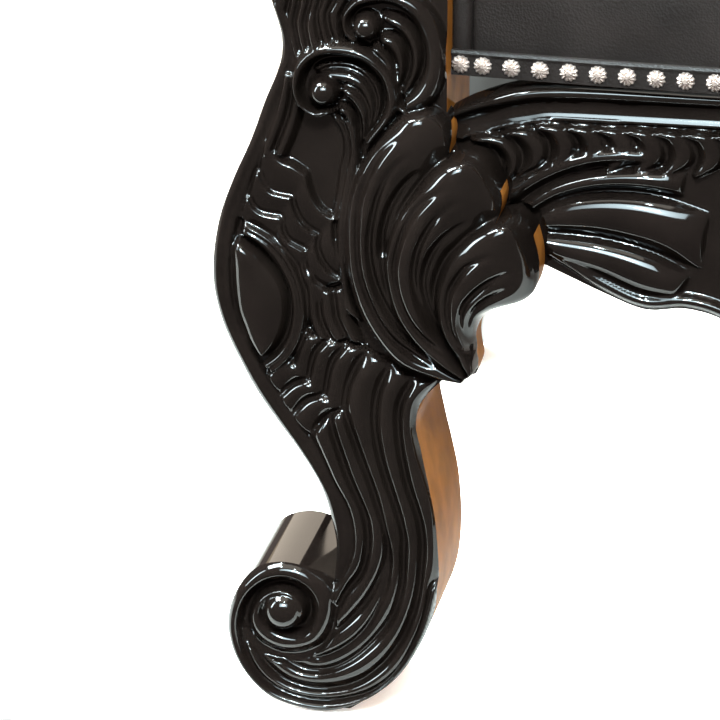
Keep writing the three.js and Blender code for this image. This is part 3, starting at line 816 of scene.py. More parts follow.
@dataclass
class FrontLegs:
    """The two carved front legs with their leafy wings, drawn for the sitter's left."""

    low: Point = (-64.0, -4.0)
    high: Point = (146.0, 710.0)
    wing_back: float = 15.0
    fine: float = 0.85
    coarse: float = 1.8
    seen_below: float = 470.0
    rim: Rail = field(default_factory=lambda: [
        (104, 451), (98, 430), (98, 418), (101, 407), (108, 390), (117, 365), (128, 340), (136, 317.5),
        (140.5, 292), (140.5, 272), (135.5, 250), (125, 226), (114.5, 206.5), (101.5, 187.5), (88, 169),
        (76, 149), (69, 128), (65.5, 108.5), (67, 86)])

    def plank_outline(self) -> Rail:
        """Outline of the leg's full-depth plank.

        Returns:
            Its corners.
        """
        foot = [(67, 86), (76, 91), (88, 96), (101, 97), (115, 92), (127.5, 77), (134, 56), (132, 34.5),
                (119.5, 14), (98, 0)]
        inboard = [(58, 0), (48, 7), (29, 23), (13.5, 48), (5, 72), (2.5, 97), (3, 115), (5, 134.5),
                   (9, 153.5), (14, 175), (17, 192), (15, 204), (8, 214), (0, 222)]
        head = [(0, 664), (12, 682), (32, 697), (58, 703.5), (84, 701), (106, 686), (116, 662), (113, 638),
                (104, 616), (112, 592), (122, 560), (122, 520), (112, 480), (104, 451)]
        return outline_of(self.rim, foot, [(98, 0), (58, 0)], inboard, [(0, 222), (0, 664)], head)

    def wing_outline(self) -> Rail:
        """Outline of the leaf that stands out beside the leg.

        Returns:
            Its corners.
        """
        return outline_of(
            [(14, 392), (5, 391), (-1.5, 386), (-4, 376), (-3, 365)],
            [(-3, 365), (-14, 366), (-21, 364.5), (-27, 359), (-31, 351), (-34.5, 341), (-34.5, 334),
             (-33, 328)],
            [(-33, 328), (-43, 329.5), (-51, 323), (-55, 312), (-57, 301), (-56.5, 290), (-53.5, 282),
             (-48, 277), (-41, 274.5), (-34, 272.5), (-27, 269), (-22, 262), (-19.5, 253), (-20, 244),
             (-21.5, 235), (-19, 226.5)],
            [(-19, 226.5), (-9, 222.5), (5, 222), (20, 224)], [(20, 224), (20, 300), (14, 392)])

    def carve_rim(self, canvas: Canvas) -> None:
        """Broad rim along the outboard edge, with a low ridge along its middle.

        Args:
            canvas: Canvas to carve on.
        """
        middle = [(100, 448), (93, 424), (93.5, 416), (96.5, 406), (102, 391), (110, 370), (119, 350),
                  (127, 329), (133, 311), (135.5, 291), (135.5, 271), (131, 252.5), (120.5, 229.5),
                  (109, 209.5), (97, 191), (84.5, 172), (72.5, 151), (66.5, 139), (63.5, 124), (63.5, 108),
                  (66, 88)]
        inner = [(96, 446), (89, 424), (90, 413), (93, 402.5), (98.5, 387), (105, 369), (113.5, 348.5),
                 (122, 325), (127, 309), (129.5, 290.5), (129.5, 271), (125.5, 252.5), (115, 229),
                 (103, 209), (91.5, 192), (79, 173.5), (68, 151.5), (60.5, 136.5), (56.5, 120), (57.5, 103),
                 (64, 87)]
        rim = [(104, 451), *self.rim[1:]]
        canvas.raised(rim, middle, Section(left=2.0, right=5.6, crown=1.6, full=0.7, head=0.01))
        canvas.raised(middle, inner, Section(left=3.6, right=3.2, crown=1.6, full=0.7, head=0.01))

    def carve_foot(self, canvas: Canvas) -> None:
        """Ribs that run down the shin into the foot, and the scroll that winds in to its ball.

        Args:
            canvas: Canvas to carve on.
        """
        rim_edge = [(82, 181), (75, 166.5), (68, 151.5), (62, 141), (58.5, 132), (56.5, 122), (56, 112),
                    (58, 101), (62, 91), (67.5, 82)]
        second = [(69.5, 195), (67, 183.5), (63.5, 172.5), (58, 156), (53.5, 146), (48, 133), (46, 119.5),
                  (46.5, 108), (50, 94), (59.5, 80.5), (65, 68.5), (68, 60)]
        third = [(60.5, 199.5), (56.5, 187), (50.5, 170), (44.5, 154), (38, 134), (34, 120), (34, 107),
                 (37.5, 93.5), (43, 82), (50.5, 70), (60.5, 58), (75, 46)]
        third_head = [(47, 238), (53.5, 227.5), (59, 214), *third]
        fourth = [(32, 231), (39.5, 214), (42, 196), (40, 178), (34, 155), (27.5, 136), (23.5, 121),
                  (23.5, 105.5), (24, 89), (26.5, 77), (31, 65), (42, 49), (54.5, 36), (68.5, 27.5),
                  (83, 25.5), (95, 30), (105, 38)]
        fifth = [(18, 223), (26.5, 204.5), (27, 186.5), (22, 156), (14, 131.5), (12, 117.5), (12.5, 101),
                 (15, 79), (20, 62.5), (27.5, 46.5), (38.5, 31.5), (52.5, 20), (68.5, 14.5), (86, 14.5),
                 (101, 20), (112, 31), (119, 47)]
        shin = [(5, 221), (15, 206), (17, 193), (15, 177), (10, 158), (4, 135), (2, 114), (3, 96), (6.5, 84)]
        last = [(10, 66), (17, 47), (29.5, 26), (45, 13.5), (62.5, 8), (81.5, 6.5), (100.5, 11), (114.5, 21),
                (122, 35), (125, 52)]
        rib = Section(left=3, right=3, crown=6, head=0.05, tail=0.85)
        for left, right in ((rim_edge, second), (second, third), (third_head, fourth), (fourth, fifth),
                            (fifth, shin + last)):
            canvas.raised(left, right, rib)
        canvas.groove([
            (33.5, 122), (32, 105), (33, 94), (35.5, 82.5), (43.5, 63), (52.5, 50.5), (65.5, 40),
            (76.5, 35), (86, 34.5)], 9, 4.5, soft_start=0.25)
        outer = [(2, 92), (5, 76), (10.5, 57.5), (20.5, 37.5), (35, 18.5), (52.5, 6), (71, -0.5), (90, 1),
                 (109, 7.5), (123.5, 22), (132, 39), (134, 57), (128, 77), (115, 92), (101, 97.5),
                 (88, 96.5), (76, 90), (68.5, 82), (66.5, 70), (68.5, 57.5), (74.5, 46.5), (84, 40),
                 (96.5, 37.5), (107.5, 40), (116, 46.5), (120, 55), (119, 65), (113, 74.5), (105, 79.5),
                 (96.5, 80.5), (89, 77), (84.5, 70.5), (84.5, 63), (88, 57)]
        inner = [(6.5, 88), (9, 72), (14.5, 54), (24, 34), (39, 17.5), (54, 10.5), (72, 7), (89, 8),
                 (105, 13.5), (117, 24.5), (123.5, 39), (125.5, 55), (120.5, 71.5), (110.5, 81.5),
                 (100, 85), (90.5, 83.5), (83.5, 78), (80, 70), (80.5, 61.5), (84, 54.5), (89, 51),
                 (97, 51.5), (103.5, 54), (108, 58), (110.5, 62.5), (110.5, 67.5), (107, 73), (102, 76),
                 (96.5, 76.5), (91.5, 74), (89, 69), (89, 64.5), (91, 60.5), (92, 59)]
        x, z = canvas.places((98, 64))
        canvas.height = np.where(x * x + z * z < 33 * 33, np.minimum(canvas.height, 3.0), canvas.height)
        canvas.raised(outer, inner, Section(left=4, right=4, crown=6.5, full=0.8, head=0.02), matched=True)
        canvas.dome((98.3, 65.6), 12.5, 12.5, 13, base=4.5)

    def carve_leaf(self, canvas: Canvas) -> None:
        """The three overlapping lobes of the leaf, with their grooves.

        Args:
            canvas: Canvas to carve on.
        """
        lobes = [
            ([(12, 390.5), (23.5, 388), (32, 380), (39, 371.5), (45.5, 361.5), (51.5, 350.5), (55.5, 338),
              (58, 325.5), (59, 310), (58, 291.5), (55.5, 279), (51.5, 266.5), (46, 255.5), (39.5, 245.5),
              (32, 236.5), (24, 230.5), (15.5, 227.5), (6.5, 225.5), (-2.5, 224), (-12, 223.5)],
             [(10, 391.5), (3.5, 388), (-2, 382), (-4, 372), (-1, 359), (8, 345), (17, 329), (24, 313.5),
              (28, 299.5), (28.5, 282), (23, 267), (14.5, 253), (4.5, 243), (-4.5, 236), (-15, 228)],
             Section(left=9, right=9, crown=18, peak=0.42, full=0.65, head=0.22, tail=0.62)),
            ([(-13.5, 365.5), (-4, 363), (3, 359), (9, 353), (16, 343.5), (22.5, 334), (28.5, 323.5),
              (32, 313), (34.5, 301), (32.5, 284), (28, 267), (20, 253.5), (9.5, 242.5), (-1, 235.5),
              (-13, 229)],
             [(-16, 366), (-22, 364), (-27, 359), (-31, 351), (-34.5, 341), (-34.5, 332.5), (-31, 323.5),
              (-23.5, 316), (-13, 308.5), (-5, 298.5), (1, 286), (2, 272), (-1.5, 256.5), (-7.5, 244.5),
              (-18, 228)],
             Section(left=17, right=11, crown=20, peak=0.45, full=0.62, head=0.26, tail=0.62)),
            ([(-41, 329), (-33, 328.5), (-25.5, 326), (-16, 320), (-9.5, 313), (-4, 305), (0.5, 294.5),
              (3, 282.5), (2.5, 268.5), (-1.5, 255), (-8, 244), (-18, 231)],
             [(-43.5, 329.5), (-51, 323), (-55, 312), (-57, 301), (-56.5, 290), (-53.5, 282), (-48, 277),
              (-41, 274.5), (-34, 272.5), (-27, 269), (-22, 262), (-19.5, 253), (-20, 244), (-21.5, 235)],
             Section(left=20, right=8, crown=20, peak=0.5, full=0.62, head=0.3, tail=0.7))]
        for left, right, section in lobes:
            canvas.raised(left, right, section)
        grooves = [
            [(21, 379), (29.5, 372.5), (37.5, 363.5), (43.5, 351), (48.5, 337.5), (50, 323), (50, 307.5),
             (48.5, 292), (44, 277), (37, 261.5), (28, 249.5), (17, 241), (3.5, 233.5)],
            [(15.5, 368.5), (23, 363.5), (30, 355.5), (36, 343), (40, 328.5), (42.5, 312), (41.5, 295),
             (37, 278), (28.5, 261.5), (18, 249), (4.5, 239)],
            [(12, 358), (20.5, 349.5), (27.5, 339), (32, 328.5), (35, 316), (35.5, 301)],
            [(-6.5, 351), (3.5, 344.5), (13, 335.5), (20.5, 322.5), (25, 308.5), (27, 294.5), (24.5, 279.5),
             (18, 265), (8.5, 253), (-3.5, 243)],
            [(-15.5, 343.5), (-8, 340), (0.5, 332), (8, 320.5), (13, 308), (15, 294), (13, 279), (7, 263.5),
             (-2.5, 250.5), (-13.5, 240)],
            [(-20, 331), (-10.5, 325.5), (-2, 317.5), (4, 308.5), (8, 298.5), (10, 286.5), (8, 274),
             (3.5, 262), (-4, 250), (-14.5, 238)],
            [(-33.5, 312), (-25, 307.5), (-16.5, 301.5), (-10.5, 293), (-6, 283.5), (-5, 272.5),
             (-7.5, 260), (-13.5, 248), (-19.5, 239.5)],
            [(-45.5, 301.5), (-38, 298), (-29, 292.5), (-21, 285), (-15, 276.5), (-13, 265.5),
             (-14.5, 254.5), (-19.5, 242)],
            [(-42.5, 289.5), (-35, 286), (-26, 280), (-19.5, 272), (-16.5, 262), (-18, 251.5),
             (-21, 241.5)]]
        for line in grooves:
            canvas.groove(line, 8.0, 5.5, soft_start=0.42, soft_end=0.1)

    def carve_volutes(self, canvas: Canvas) -> None:
        """The two volutes over the leaf, with the lobes in their hollows.

        Args:
            canvas: Canvas to carve on.
        """
        tube = Section(left=6, right=6, crown=6, full=0.85, head=0.04)
        lobe = Section(left=5, right=4, crown=6, full=0.8, head=0.16, tail=0.8)
        bead = Section(left=4, right=4, crown=3, head=0.06)
        canvas.raised(
            [(53, 428.5), (56, 430.5), (59.5, 434.5), (61, 439.5), (61, 445), (54, 455.5), (46, 459.5),
             (34.5, 462), (22, 460), (11, 453), (4.5, 444.5), (1, 433.5), (0, 422.5), (0.5, 412.5),
             (4, 401), (10, 393), (20, 388)],
            [(51, 431.5), (54, 434), (56.5, 436.5), (57.5, 440), (56.5, 445), (52.5, 449.5), (46, 452.5),
             (38, 453.5), (30, 452.5), (23.5, 449), (17.5, 442.5), (13.5, 434.5), (11.5, 424.5),
             (12, 415.5), (15, 407.5), (19, 401), (24, 396.5)], tube, matched=True)
        canvas.raised(
            [(38, 447), (33, 447), (25, 444.5), (18.5, 438), (14.5, 427.5), (15, 415.5), (19, 405.5),
             (24, 397.5)],
            [(37, 442.5), (33, 440.5), (28, 437.5), (23.5, 432), (20.5, 425), (20, 417), (22, 409),
             (25.5, 400.5)], lobe)
        canvas.raised(
            [(38, 434.5), (34, 435), (29, 433.5), (25, 428), (23.5, 420), (24, 413), (27, 404.5)],
            [(39.5, 430), (36.5, 427.5), (32.5, 424), (29.5, 418.5), (28.5, 412.5), (28, 406.5)], lobe)
        canvas.raised([(43.5, 428), (40, 428), (35, 424), (31, 416.5), (29, 408.5)],
                      [(43.5, 424.5), (40, 421.5), (36.5, 418), (32.5, 413), (29, 407)], lobe)
        canvas.dome((46.5, 439), 8.2, 8.2, 11, base=5)
        canvas.raised(
            [(64, 387), (69, 384.5), (75.5, 383.5), (82.5, 386), (88, 392), (90.5, 400), (90.5, 408),
             (88, 416.5), (82.5, 423), (74.5, 427.5), (64.5, 429.5), (54.5, 429), (45, 425), (37, 419),
             (31, 412.5), (28, 404.5), (26.5, 396.5), (28, 388.5), (33, 381), (39, 374), (43.5, 368)],
            [(69, 389), (71.5, 388.5), (76, 387.5), (80.5, 389.5), (84.5, 393.5), (86, 398.5),
             (85.5, 403.5), (83.5, 409.5), (79, 415.5), (73.5, 419), (65.5, 420.5), (55.5, 420),
             (48, 418.5), (42, 414.5), (38, 409.5), (35.5, 403.5), (34.5, 396), (36, 388), (39, 381.5),
             (43, 375.5), (47, 369.5)], Section(left=8, right=7, crown=6.5, full=0.85, head=0.04),
            matched=True)
        canvas.raised(
            [(78.5, 411), (73.5, 414.5), (64.5, 416.5), (54.5, 416), (47, 412), (41, 405.5), (38, 398),
             (38, 390), (40.5, 382), (44.5, 375.5), (48, 369.5)],
            [(76, 410), (71.5, 413), (63.5, 414.5), (55.5, 413.5), (48.5, 410), (43, 403.5), (40.5, 396),
             (40.5, 389), (42.5, 381.5), (46, 375), (48.5, 370)], bead)
        canvas.raised(
            [(76, 409.5), (71.5, 412.5), (63.5, 414), (55.5, 413), (48.5, 409.5), (43.5, 403.5), (41, 396),
             (41, 389), (43, 381.5), (46, 375), (48.5, 370)],
            [(70, 407), (66, 405.5), (61, 403.5), (56, 402.5), (51, 399.5), (47.5, 394), (45, 387.5),
             (45, 380.5), (46.5, 375), (49, 369.5)],
            Section(left=3, right=4, crown=5, peak=0.6, full=0.8, head=0.1))
        canvas.raised(
            [(61, 403), (57.5, 403), (53, 401), (48, 395.5), (45, 387.5), (45.5, 380.5), (47, 375),
             (49, 369)],
            [(61.5, 398.5), (59, 396), (55.5, 393), (52.5, 388.5), (50, 383), (49, 377), (49.5, 370)],
            Section(left=5, right=5, crown=7, full=0.8, head=0.16, tail=0.8))
        canvas.raised([(63, 390.5), (60.5, 390.5), (56.5, 388.5), (54, 383.5), (53.5, 377.5)],
                      [(63.5, 387), (60.5, 384.5), (58, 381), (56, 377.5), (54, 375)], lobe)
        canvas.dome((71.5, 399), 9.3, 9.3, 12, base=6)
        canvas.groove([(79.5, 396), (76, 391.5), (71, 390.5), (66.5, 393)], 4.5, 3.5, soft_start=0.3,
                      soft_end=0.2)
        canvas.band([(27.5, 392), (24, 389), (21, 391.5), (20, 395)], 4.5, 3,
                    Section(left=6, right=6, crown=4, head=0.2))

    def carve_shoulder(self, canvas: Canvas) -> None:
        """Stem beside the leaf, and the ribs between the upper volute and the plates.

        Args:
            canvas: Canvas to carve on.
        """
        canvas.raised(
            [(61.5, 383), (58, 374.5), (57, 363.5), (59.5, 350), (62, 337.5), (64, 323), (65, 304),
             (63, 285.5), (61.5, 266.5)],
            [(53, 377), (51.5, 364.5), (51.5, 353.5), (54.5, 341), (57.5, 326), (59.5, 305.5), (58.5, 287),
             (56, 271), (50, 256)], Section(left=5, right=7, crown=2.5, head=0.05))
        canvas.band([(67, 384), (60.5, 374), (59, 362), (61.5, 349.5), (63, 337), (66, 320)], 3.2, 3.2,
                    Section(left=3, right=3, crown=3, head=0.05))
        valleys = (
            [(96, 410), (97, 405), (102, 385), (107.5, 369), (111, 356)],
            [(90, 408), (91.5, 396.5), (93.5, 385.5), (97.5, 373), (103, 359)],
            [(84, 392), (86, 382.5), (89.5, 371), (95.5, 356)])
        for left, right in zip(valleys, valleys[1:]):
            canvas.raised(left, right, Section(left=2, right=2, crown=6, full=0.8, head=0.06))

    def carve_plates(self, canvas: Canvas) -> None:
        """Overlapping scaly plates, each with a raised lip.

        Args:
            canvas: Canvas to carve on.
        """
        upper = [
            [(106.5, 368), (103.5, 361), (97.5, 355), (91, 352.5), (82.5, 347)],
            [(112, 348), (109, 340.5), (104.5, 335.5), (98, 333.5), (91, 332.5)],
            [(118.5, 331.5), (115.5, 325), (110.5, 321.5), (104.5, 320.5), (98.5, 320)],
            [(124, 316.5), (118, 313), (110.5, 309.5), (104.5, 305), (98, 300.5)]]
        middle = [
            [(82.5, 347.5), (81, 339), (78, 331.5), (72.5, 324.5), (64.5, 320)],
            [(92, 331.5), (90, 324.5), (86.5, 318), (81.5, 313), (75.5, 309.5)],
            [(99, 319), (98, 313), (94.5, 305.5), (89.5, 302.5), (83.5, 299.5)],
            [(104, 306), (101, 299), (96, 293), (92, 288), (88, 284)]]
        third = [
            [(66.5, 320), (66.5, 312.5), (65.5, 304.5), (63, 297.5), (60.5, 294)],
            [(76, 308.5), (77, 302.5), (74, 293.5), (68.5, 286.5), (61.5, 282)],
            [(84.5, 299), (85.5, 292.5), (83, 286), (78, 280), (72, 276.5)],
            [(88, 284), (87, 278), (84, 271), (80, 266), (77, 263)]]
        for row in (upper, middle, third):
            for lip, below in zip(row, row[1:]):
                self.plate(canvas, lip, below)
        bands = (
            [(83.5, 292), (84, 268), (83.5, 260.5), (81.5, 252.5), (78.5, 246)],
            [(76, 275), (75.5, 268.5), (75, 258.5), (72.5, 251), (68, 243)],
            [(67, 275), (66, 268), (65, 259), (62.5, 253), (58.5, 245)],
            [(61, 278), (58, 268), (56, 259), (53, 250), (49, 242)])
        for left, right in zip(bands, bands[1:]):
            canvas.raised(left, right, Section(left=2.5, right=2.5, crown=5, full=0.75, head=0.08))
        rolls = [[(92, 229.5), (100, 226), (108, 219.5)], [(82, 218), (92, 213.5), (100, 206)],
                 [(73, 208.5), (84.5, 203), (92.5, 194)], [(61, 200.5), (72.5, 194), (81.5, 181)]]
        fingers = [[(84, 248), (88.5, 237), (91.5, 229)], [(70.5, 244), (78, 235), (82.5, 218)],
                   [(59, 241.5), (67.5, 230), (72.5, 208)], [(46.5, 239), (53.5, 229), (59, 214), (61, 200)]]
        finger = Section(left=2.5, right=3.5, crown=6, peak=0.4, full=0.8, head=0.2, tail=0.8)
        for row in (rolls, fingers):
            for top, below in zip(row, row[1:]):
                canvas.raised(top, below, finger)

    def plate(self, canvas: Canvas, lip: Rail, below: Rail) -> None:
        """One plate that falls from a raised lip to the next plate.

        Args:
            canvas: Canvas to carve on.
            lip: Upper rail of the plate.
            below: Lip of the next plate.
        """
        def profile(s: np.ndarray, t: np.ndarray) -> np.ndarray:
            """Height across and along the plate."""
            return 1.5 + 6.0 * (1 - np.exp(-s / 0.055)) * (1 - 0.72 * s ** 1.3) + 0.8 * np.sin(np.pi * t)
        a, b = canvas.rails(lip, below, False)
        canvas.lay(a, b, profile)

    def carve_boss(self, canvas: Canvas) -> None:
        """The oval boss on the knee and its two-bead frame.

        Args:
            canvas: Canvas to carve on.
        """
        canvas.raised(
            [(121, 314.5), (109.5, 309.5), (100, 303), (92.5, 294.5), (86.5, 282.5), (83, 268), (84, 251.5),
             (88, 239), (94.5, 228.5), (103, 220.5)],
            [(122.5, 308), (113.5, 303.5), (105.5, 297), (98.5, 287), (93, 274.5), (91.5, 259), (94.5, 244),
             (99.5, 235), (105, 229.5), (110, 226)],
            Section(left=5, right=6, crown=1.5, ribs=2, rib=3.5, head=0.08))
        canvas.raised(
            [(125.5, 303), (128, 298), (128.5, 289.5), (128.5, 278.5), (127.5, 266), (126, 257),
             (123, 248.5), (119.5, 240), (115, 234), (110, 231)],
            [(125.5, 303.5), (120, 302), (113, 297.5), (107, 291), (100.5, 282), (96.5, 273), (95, 263),
             (96, 252), (99, 242.5), (104, 235), (110, 230.5)],
            Section(left=2.5, right=2.5, crown=11, full=0.55, head=0.2, tail=0.8))

    def carve_head(self, canvas: Canvas) -> None:
        """Locks above the knee and the scroll under the arm.

        Args:
            canvas: Canvas to carve on.
        """
        canvas.raised(
            [(112, 632), (118, 590), (117, 540), (110, 490), (103, 455), (97, 434), (95.5, 423), (92, 411)],
            [(34, 632), (44, 590), (50, 540), (52, 490), (56, 460), (63, 444.5), (63, 436.5), (62, 429)],
            Section(left=4, right=9, crown=6, head=0.03))
        locks = [
            [(104, 632), (108, 590), (106, 540), (99, 490), (92.5, 453.5), (95.5, 440), (94.5, 432),
             (91, 414)],
            [(92, 632), (96, 590), (94, 540), (88, 490), (86.5, 454), (89.5, 439), (88, 430), (85, 418)],
            [(80, 632), (85, 590), (84, 540), (79.5, 490), (79.5, 454.5), (83, 439.5), (82, 431.5),
             (79.5, 421)],
            [(68, 632), (73, 590), (73, 540), (71, 490), (73, 455), (75.5, 446), (74.5, 435.5),
             (71.5, 425)],
            [(56, 632), (62, 590), (63, 540), (62, 490), (65.5, 455.5), (69.5, 446), (68.5, 436),
             (65, 427)]]
        for line in locks:
            canvas.groove(line, 8.0, 5.5, soft_start=0.05, soft_end=0.03)
        canvas.band([(20, 596), (12, 640), (24, 676), (58, 692), (94, 680), (104, 650), (90, 624), (66, 620),
                     (52, 638), (58, 656)], 22, 10, Section(left=7, right=7, crown=8, head=0.02))
        canvas.dome((70, 647), 11, 11, 12, base=5)

    def canvas(self) -> Canvas:
        """Carve the whole front of the leg.

        Returns:
            The canvas with every form.
        """
        canvas = Canvas(self.low, self.high)
        self.carve_head(canvas)
        self.carve_rim(canvas)
        self.carve_shoulder(canvas)
        self.carve_plates(canvas)
        self.carve_boss(canvas)
        self.carve_foot(canvas)
        self.carve_leaf(canvas)
        self.carve_volutes(canvas)
        canvas.height = blurred(canvas.height, 1.0)
        return canvas

    def build(self, lacquer: bpy.types.Material, wall_reflection_paint: bpy.types.Material) -> None:
        """Build both legs, with a brown painted reflection on their inner side walls.

        Args:
            lacquer: Finish of the carved fronts.
            wall_reflection_paint: Finish of the side walls.
        """
        canvas = self.canvas()
        xs = np.arange(self.low[0] + 1, self.high[0] - 1, self.fine)
        zs = np.concatenate([np.arange(self.low[1] + 1, self.seen_below, self.fine),
                             np.arange(self.seen_below, self.high[1] - 1, self.coarse)])
        leg = slab("front_leg_left_carved", canvas, xs, zs, LEG_DEPTH / MM + SPARE)
        body = prism("plank", self.plank_outline(), CLEAR, LEG_DEPTH / MM)
        combine(body, prism("wing", self.wing_outline(), CLEAR, self.wing_back), "UNION")
        combine(leg, body, "INTERSECT")
        shade_carving(leg, SHARP_ANGLE)
        place = Vector((LEG_INNER, LEG_FRONT_Y, 0))
        leg.data.transform(Matrix.Translation(place))
        other = mirrored_copy(leg, "front_leg_right_carved")
        for piece, node in ((leg, "front_leg_left"), (other, "front_leg_right")):
            even_walls(piece, [self.plank_outline(), self.wing_outline()], place, piece is other)
            finish(piece, lacquer)
            # Brown on the inner side walls is a painted reflection of a warm floor.
            paint_wall_reflection(piece, wall_reflection_paint)
            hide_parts(node)


@dataclass
class Apron:
    """The carved board between the front legs, drawn for one half and mirrored."""

    half: float = 259.7
    setback: float = 16.0
    thick: float = 14.0
    low: float = 200.0
    high: float = 412.0
    top: float = 404.7
    fine: float = 1.05
    coarse: float = 1.7
    rows: float = 1.15
    near_leg: float = 180.0
    crescents: int = 7
    pitch: float = 17.4

    def outline(self) -> Rail:
        """Outline of the whole board, with its scalloped lower edge.

        Returns:
            Its corners.
        """
        bottom = smooth_path([
            (0, 208), (22, 213), (46, 226), (70, 244), (95, 264), (118, 270), (142, 268), (168, 277),
            (190, 286.5), (203, 292), (222, 299), (self.half, 303)], 2.0)
        top = smooth_path([
            (self.half, 385), (249, 391), (237, 396), (225.5, 400), (211, 403.5), (197, self.top)], 2.0)
        half = [tuple(p) for p in (*bottom, *top)]
        return half + [(-x, z) for x, z in reversed(half[1:])]

    def leaf_room(self) -> Rail:
        """Outline of the room that the leaf of the leg takes up in front of the board."""
        return [(248, 369), (236, 368), (227, 359), (222, 342), (224, 332), (211, 332), (202, 323),
                (200, 303), (205, 284), (220, 268), (264, 268), (264, 369)]

    def carve(self, canvas: Canvas) -> None:
        """Carve the half at +X.

        Args:
            canvas: Canvas to carve on.
        """
        canvas.raised(
            [(262, 385), (254, 390), (242.5, 394), (230.5, 398.5), (219, 402), (198, 405), (100, 405.5),
             (-3, 405.5)],
            [(262, 379), (254, 382), (242.5, 386.5), (230.5, 389.5), (213, 393.5), (198, 395), (100, 395.5),
             (-3, 395.5)], Section(left=3.5, right=3.5, crown=6, full=0.8, head=0.01))
        lip = [(262, 365), (254, 368), (245.5, 371.5), (236.5, 374), (224.5, 377.5), (212.5, 380),
               (204, 382), (198, 382.5), (100, 383), (-3, 383)]
        canvas.raised(
            [(262, 378), (254, 381), (242.5, 385.5), (230.5, 388.5), (213, 392.5), (198, 394), (100, 394.5),
             (-3, 394.5)], lip, Section(left=3, right=6, crown=-2.5, full=0.8, head=0.01))
        self.petals(canvas)
        blades = [
            ([(230, 337), (226, 342.5), (216.5, 349), (209, 353.5), (197, 359.5), (180, 366), (158, 370),
              (136, 368)],
             [(228, 326), (222.5, 330), (217.5, 332), (211.5, 337.5), (197, 347), (178, 355), (158, 358),
              (138, 357)]),
            ([(229, 324), (221, 329.5), (216.5, 332), (210.5, 337), (197, 345.5), (176, 353), (150, 357),
              (120, 355)],
             [(229, 320.5), (218.5, 321), (214.5, 323), (208.5, 326), (196.5, 334), (176, 341), (150, 343),
              (122, 340)]),
            ([(222, 319.5), (214.5, 322.5), (208.5, 325), (202.5, 329), (196.5, 333), (172, 339),
              (140, 339), (106, 330)],
             [(218.5, 316.5), (213.5, 315), (208.5, 314.5), (202.5, 314.5), (196.5, 314), (170, 313),
              (140, 307), (110, 296)]),
            ([(216, 315.5), (211.5, 314.5), (205.5, 313.5), (196.5, 313), (170, 311), (140, 304),
              (116, 292)],
             [(211.5, 309), (207, 304), (202, 300), (196, 296), (172, 289), (146, 279), (124, 276)])]
        blade = Section(left=2, right=2, crown=10, peak=0.45, full=0.8, head=0.3, tail=0.7)
        for left, right in blades:
            canvas.raised(left[::-1], right[::-1], blade)
        canvas.band(
            [(262, 306), (206, 304), (190, 297), (168, 284), (142, 274), (118, 276), (95, 270), (70, 250),
             (46, 232), (22, 219), (-3, 214)], 7, 7, Section(left=2, right=2, crown=4, full=0.7, head=0.01))
        self.cartouche(canvas)

    def petals(self, canvas: Canvas) -> None:
        """Row of nested crescents under the lip, the first two drawn and the rest repeating.

        Args:
            canvas: Canvas to carve on.
        """
        crescent = Section(left=3, right=2.5, crown=9, peak=0.45, full=0.8, head=0.12, tail=0.6)
        canvas.raised(
            [(259, 365), (252.5, 367.5), (248, 367.5), (242, 364.5), (236.5, 361), (233, 356.5), (231, 351),
             (231, 345), (230, 335)],
            [(259.5, 354), (252.5, 355), (246.5, 353), (241.5, 349.5), (237, 346), (233, 341), (230, 335)],
            Section(left=6, right=1, crown=1.5, head=0.05))
        canvas.raised(
            [(248, 369), (242, 372), (236, 373.5), (230, 373), (224, 370.5), (220.5, 366.5), (218, 362.5),
             (217.5, 356), (219, 351), (222.5, 346.5), (229.5, 341.5)],
            [(248, 368), (242, 366.5), (236, 364.5), (231.5, 362.5), (229, 359), (228, 354.5), (228.5, 348),
             (229.5, 343), (230, 339)], crescent)
        canvas.raised(
            [(230, 373.5), (223, 376.5), (215, 378.5), (209.5, 377), (205.5, 373.5), (202.5, 369.5),
             (201.5, 364), (202.5, 359), (206, 354.5), (212, 351.5), (219, 348)],
            [(229, 373), (224, 371.5), (220, 367.5), (217, 362.5), (216.5, 356), (218, 351),
             (219.5, 348.5)], crescent)
        over = [(211, 379), (203.5, 381), (197.5, 381.5), (192, 380.5), (188.5, 377), (185.5, 373),
                (184.5, 367.5), (185.5, 362.5), (189, 358.5), (195.5, 355), (202, 352)]
        under = [(210, 378.5), (204.5, 374.5), (201.5, 369.5), (200.5, 364), (201.5, 359), (202.5, 355)]
        for step in range(self.crescents):
            shift = self.pitch * step
            canvas.raised([(x - shift, z) for x, z in over], [(x - shift, z) for x, z in under], crescent)

    def cartouche(self, canvas: Canvas) -> None:
        """The shell in the middle in its scrolled frame.

        Args:
            canvas: Canvas to carve on.
        """
        canvas.raised(
            [(-3, 377), (30, 374), (56, 360), (72, 330), (66, 290), (40, 252), (12, 226), (-3, 221)],
            [(-3, 366), (26, 363), (44, 350), (56, 328), (51, 294), (30, 262), (8, 238), (-3, 234)],
            Section(left=5, right=5, crown=6, head=0.01, full=0.7))
        canvas.dome((0, 304), 36, 48, 17, base=3)
        for k in range(5):
            lean = 0.14 + 0.27 * k
            tip = (42 * math.sin(lean), 262 + 92 * math.cos(lean * 0.72))
            canvas.groove([(2, 262), (6 + 14 * math.sin(lean), 282), tip], 9, 5, soft_start=0.2,
                          soft_end=0.15)

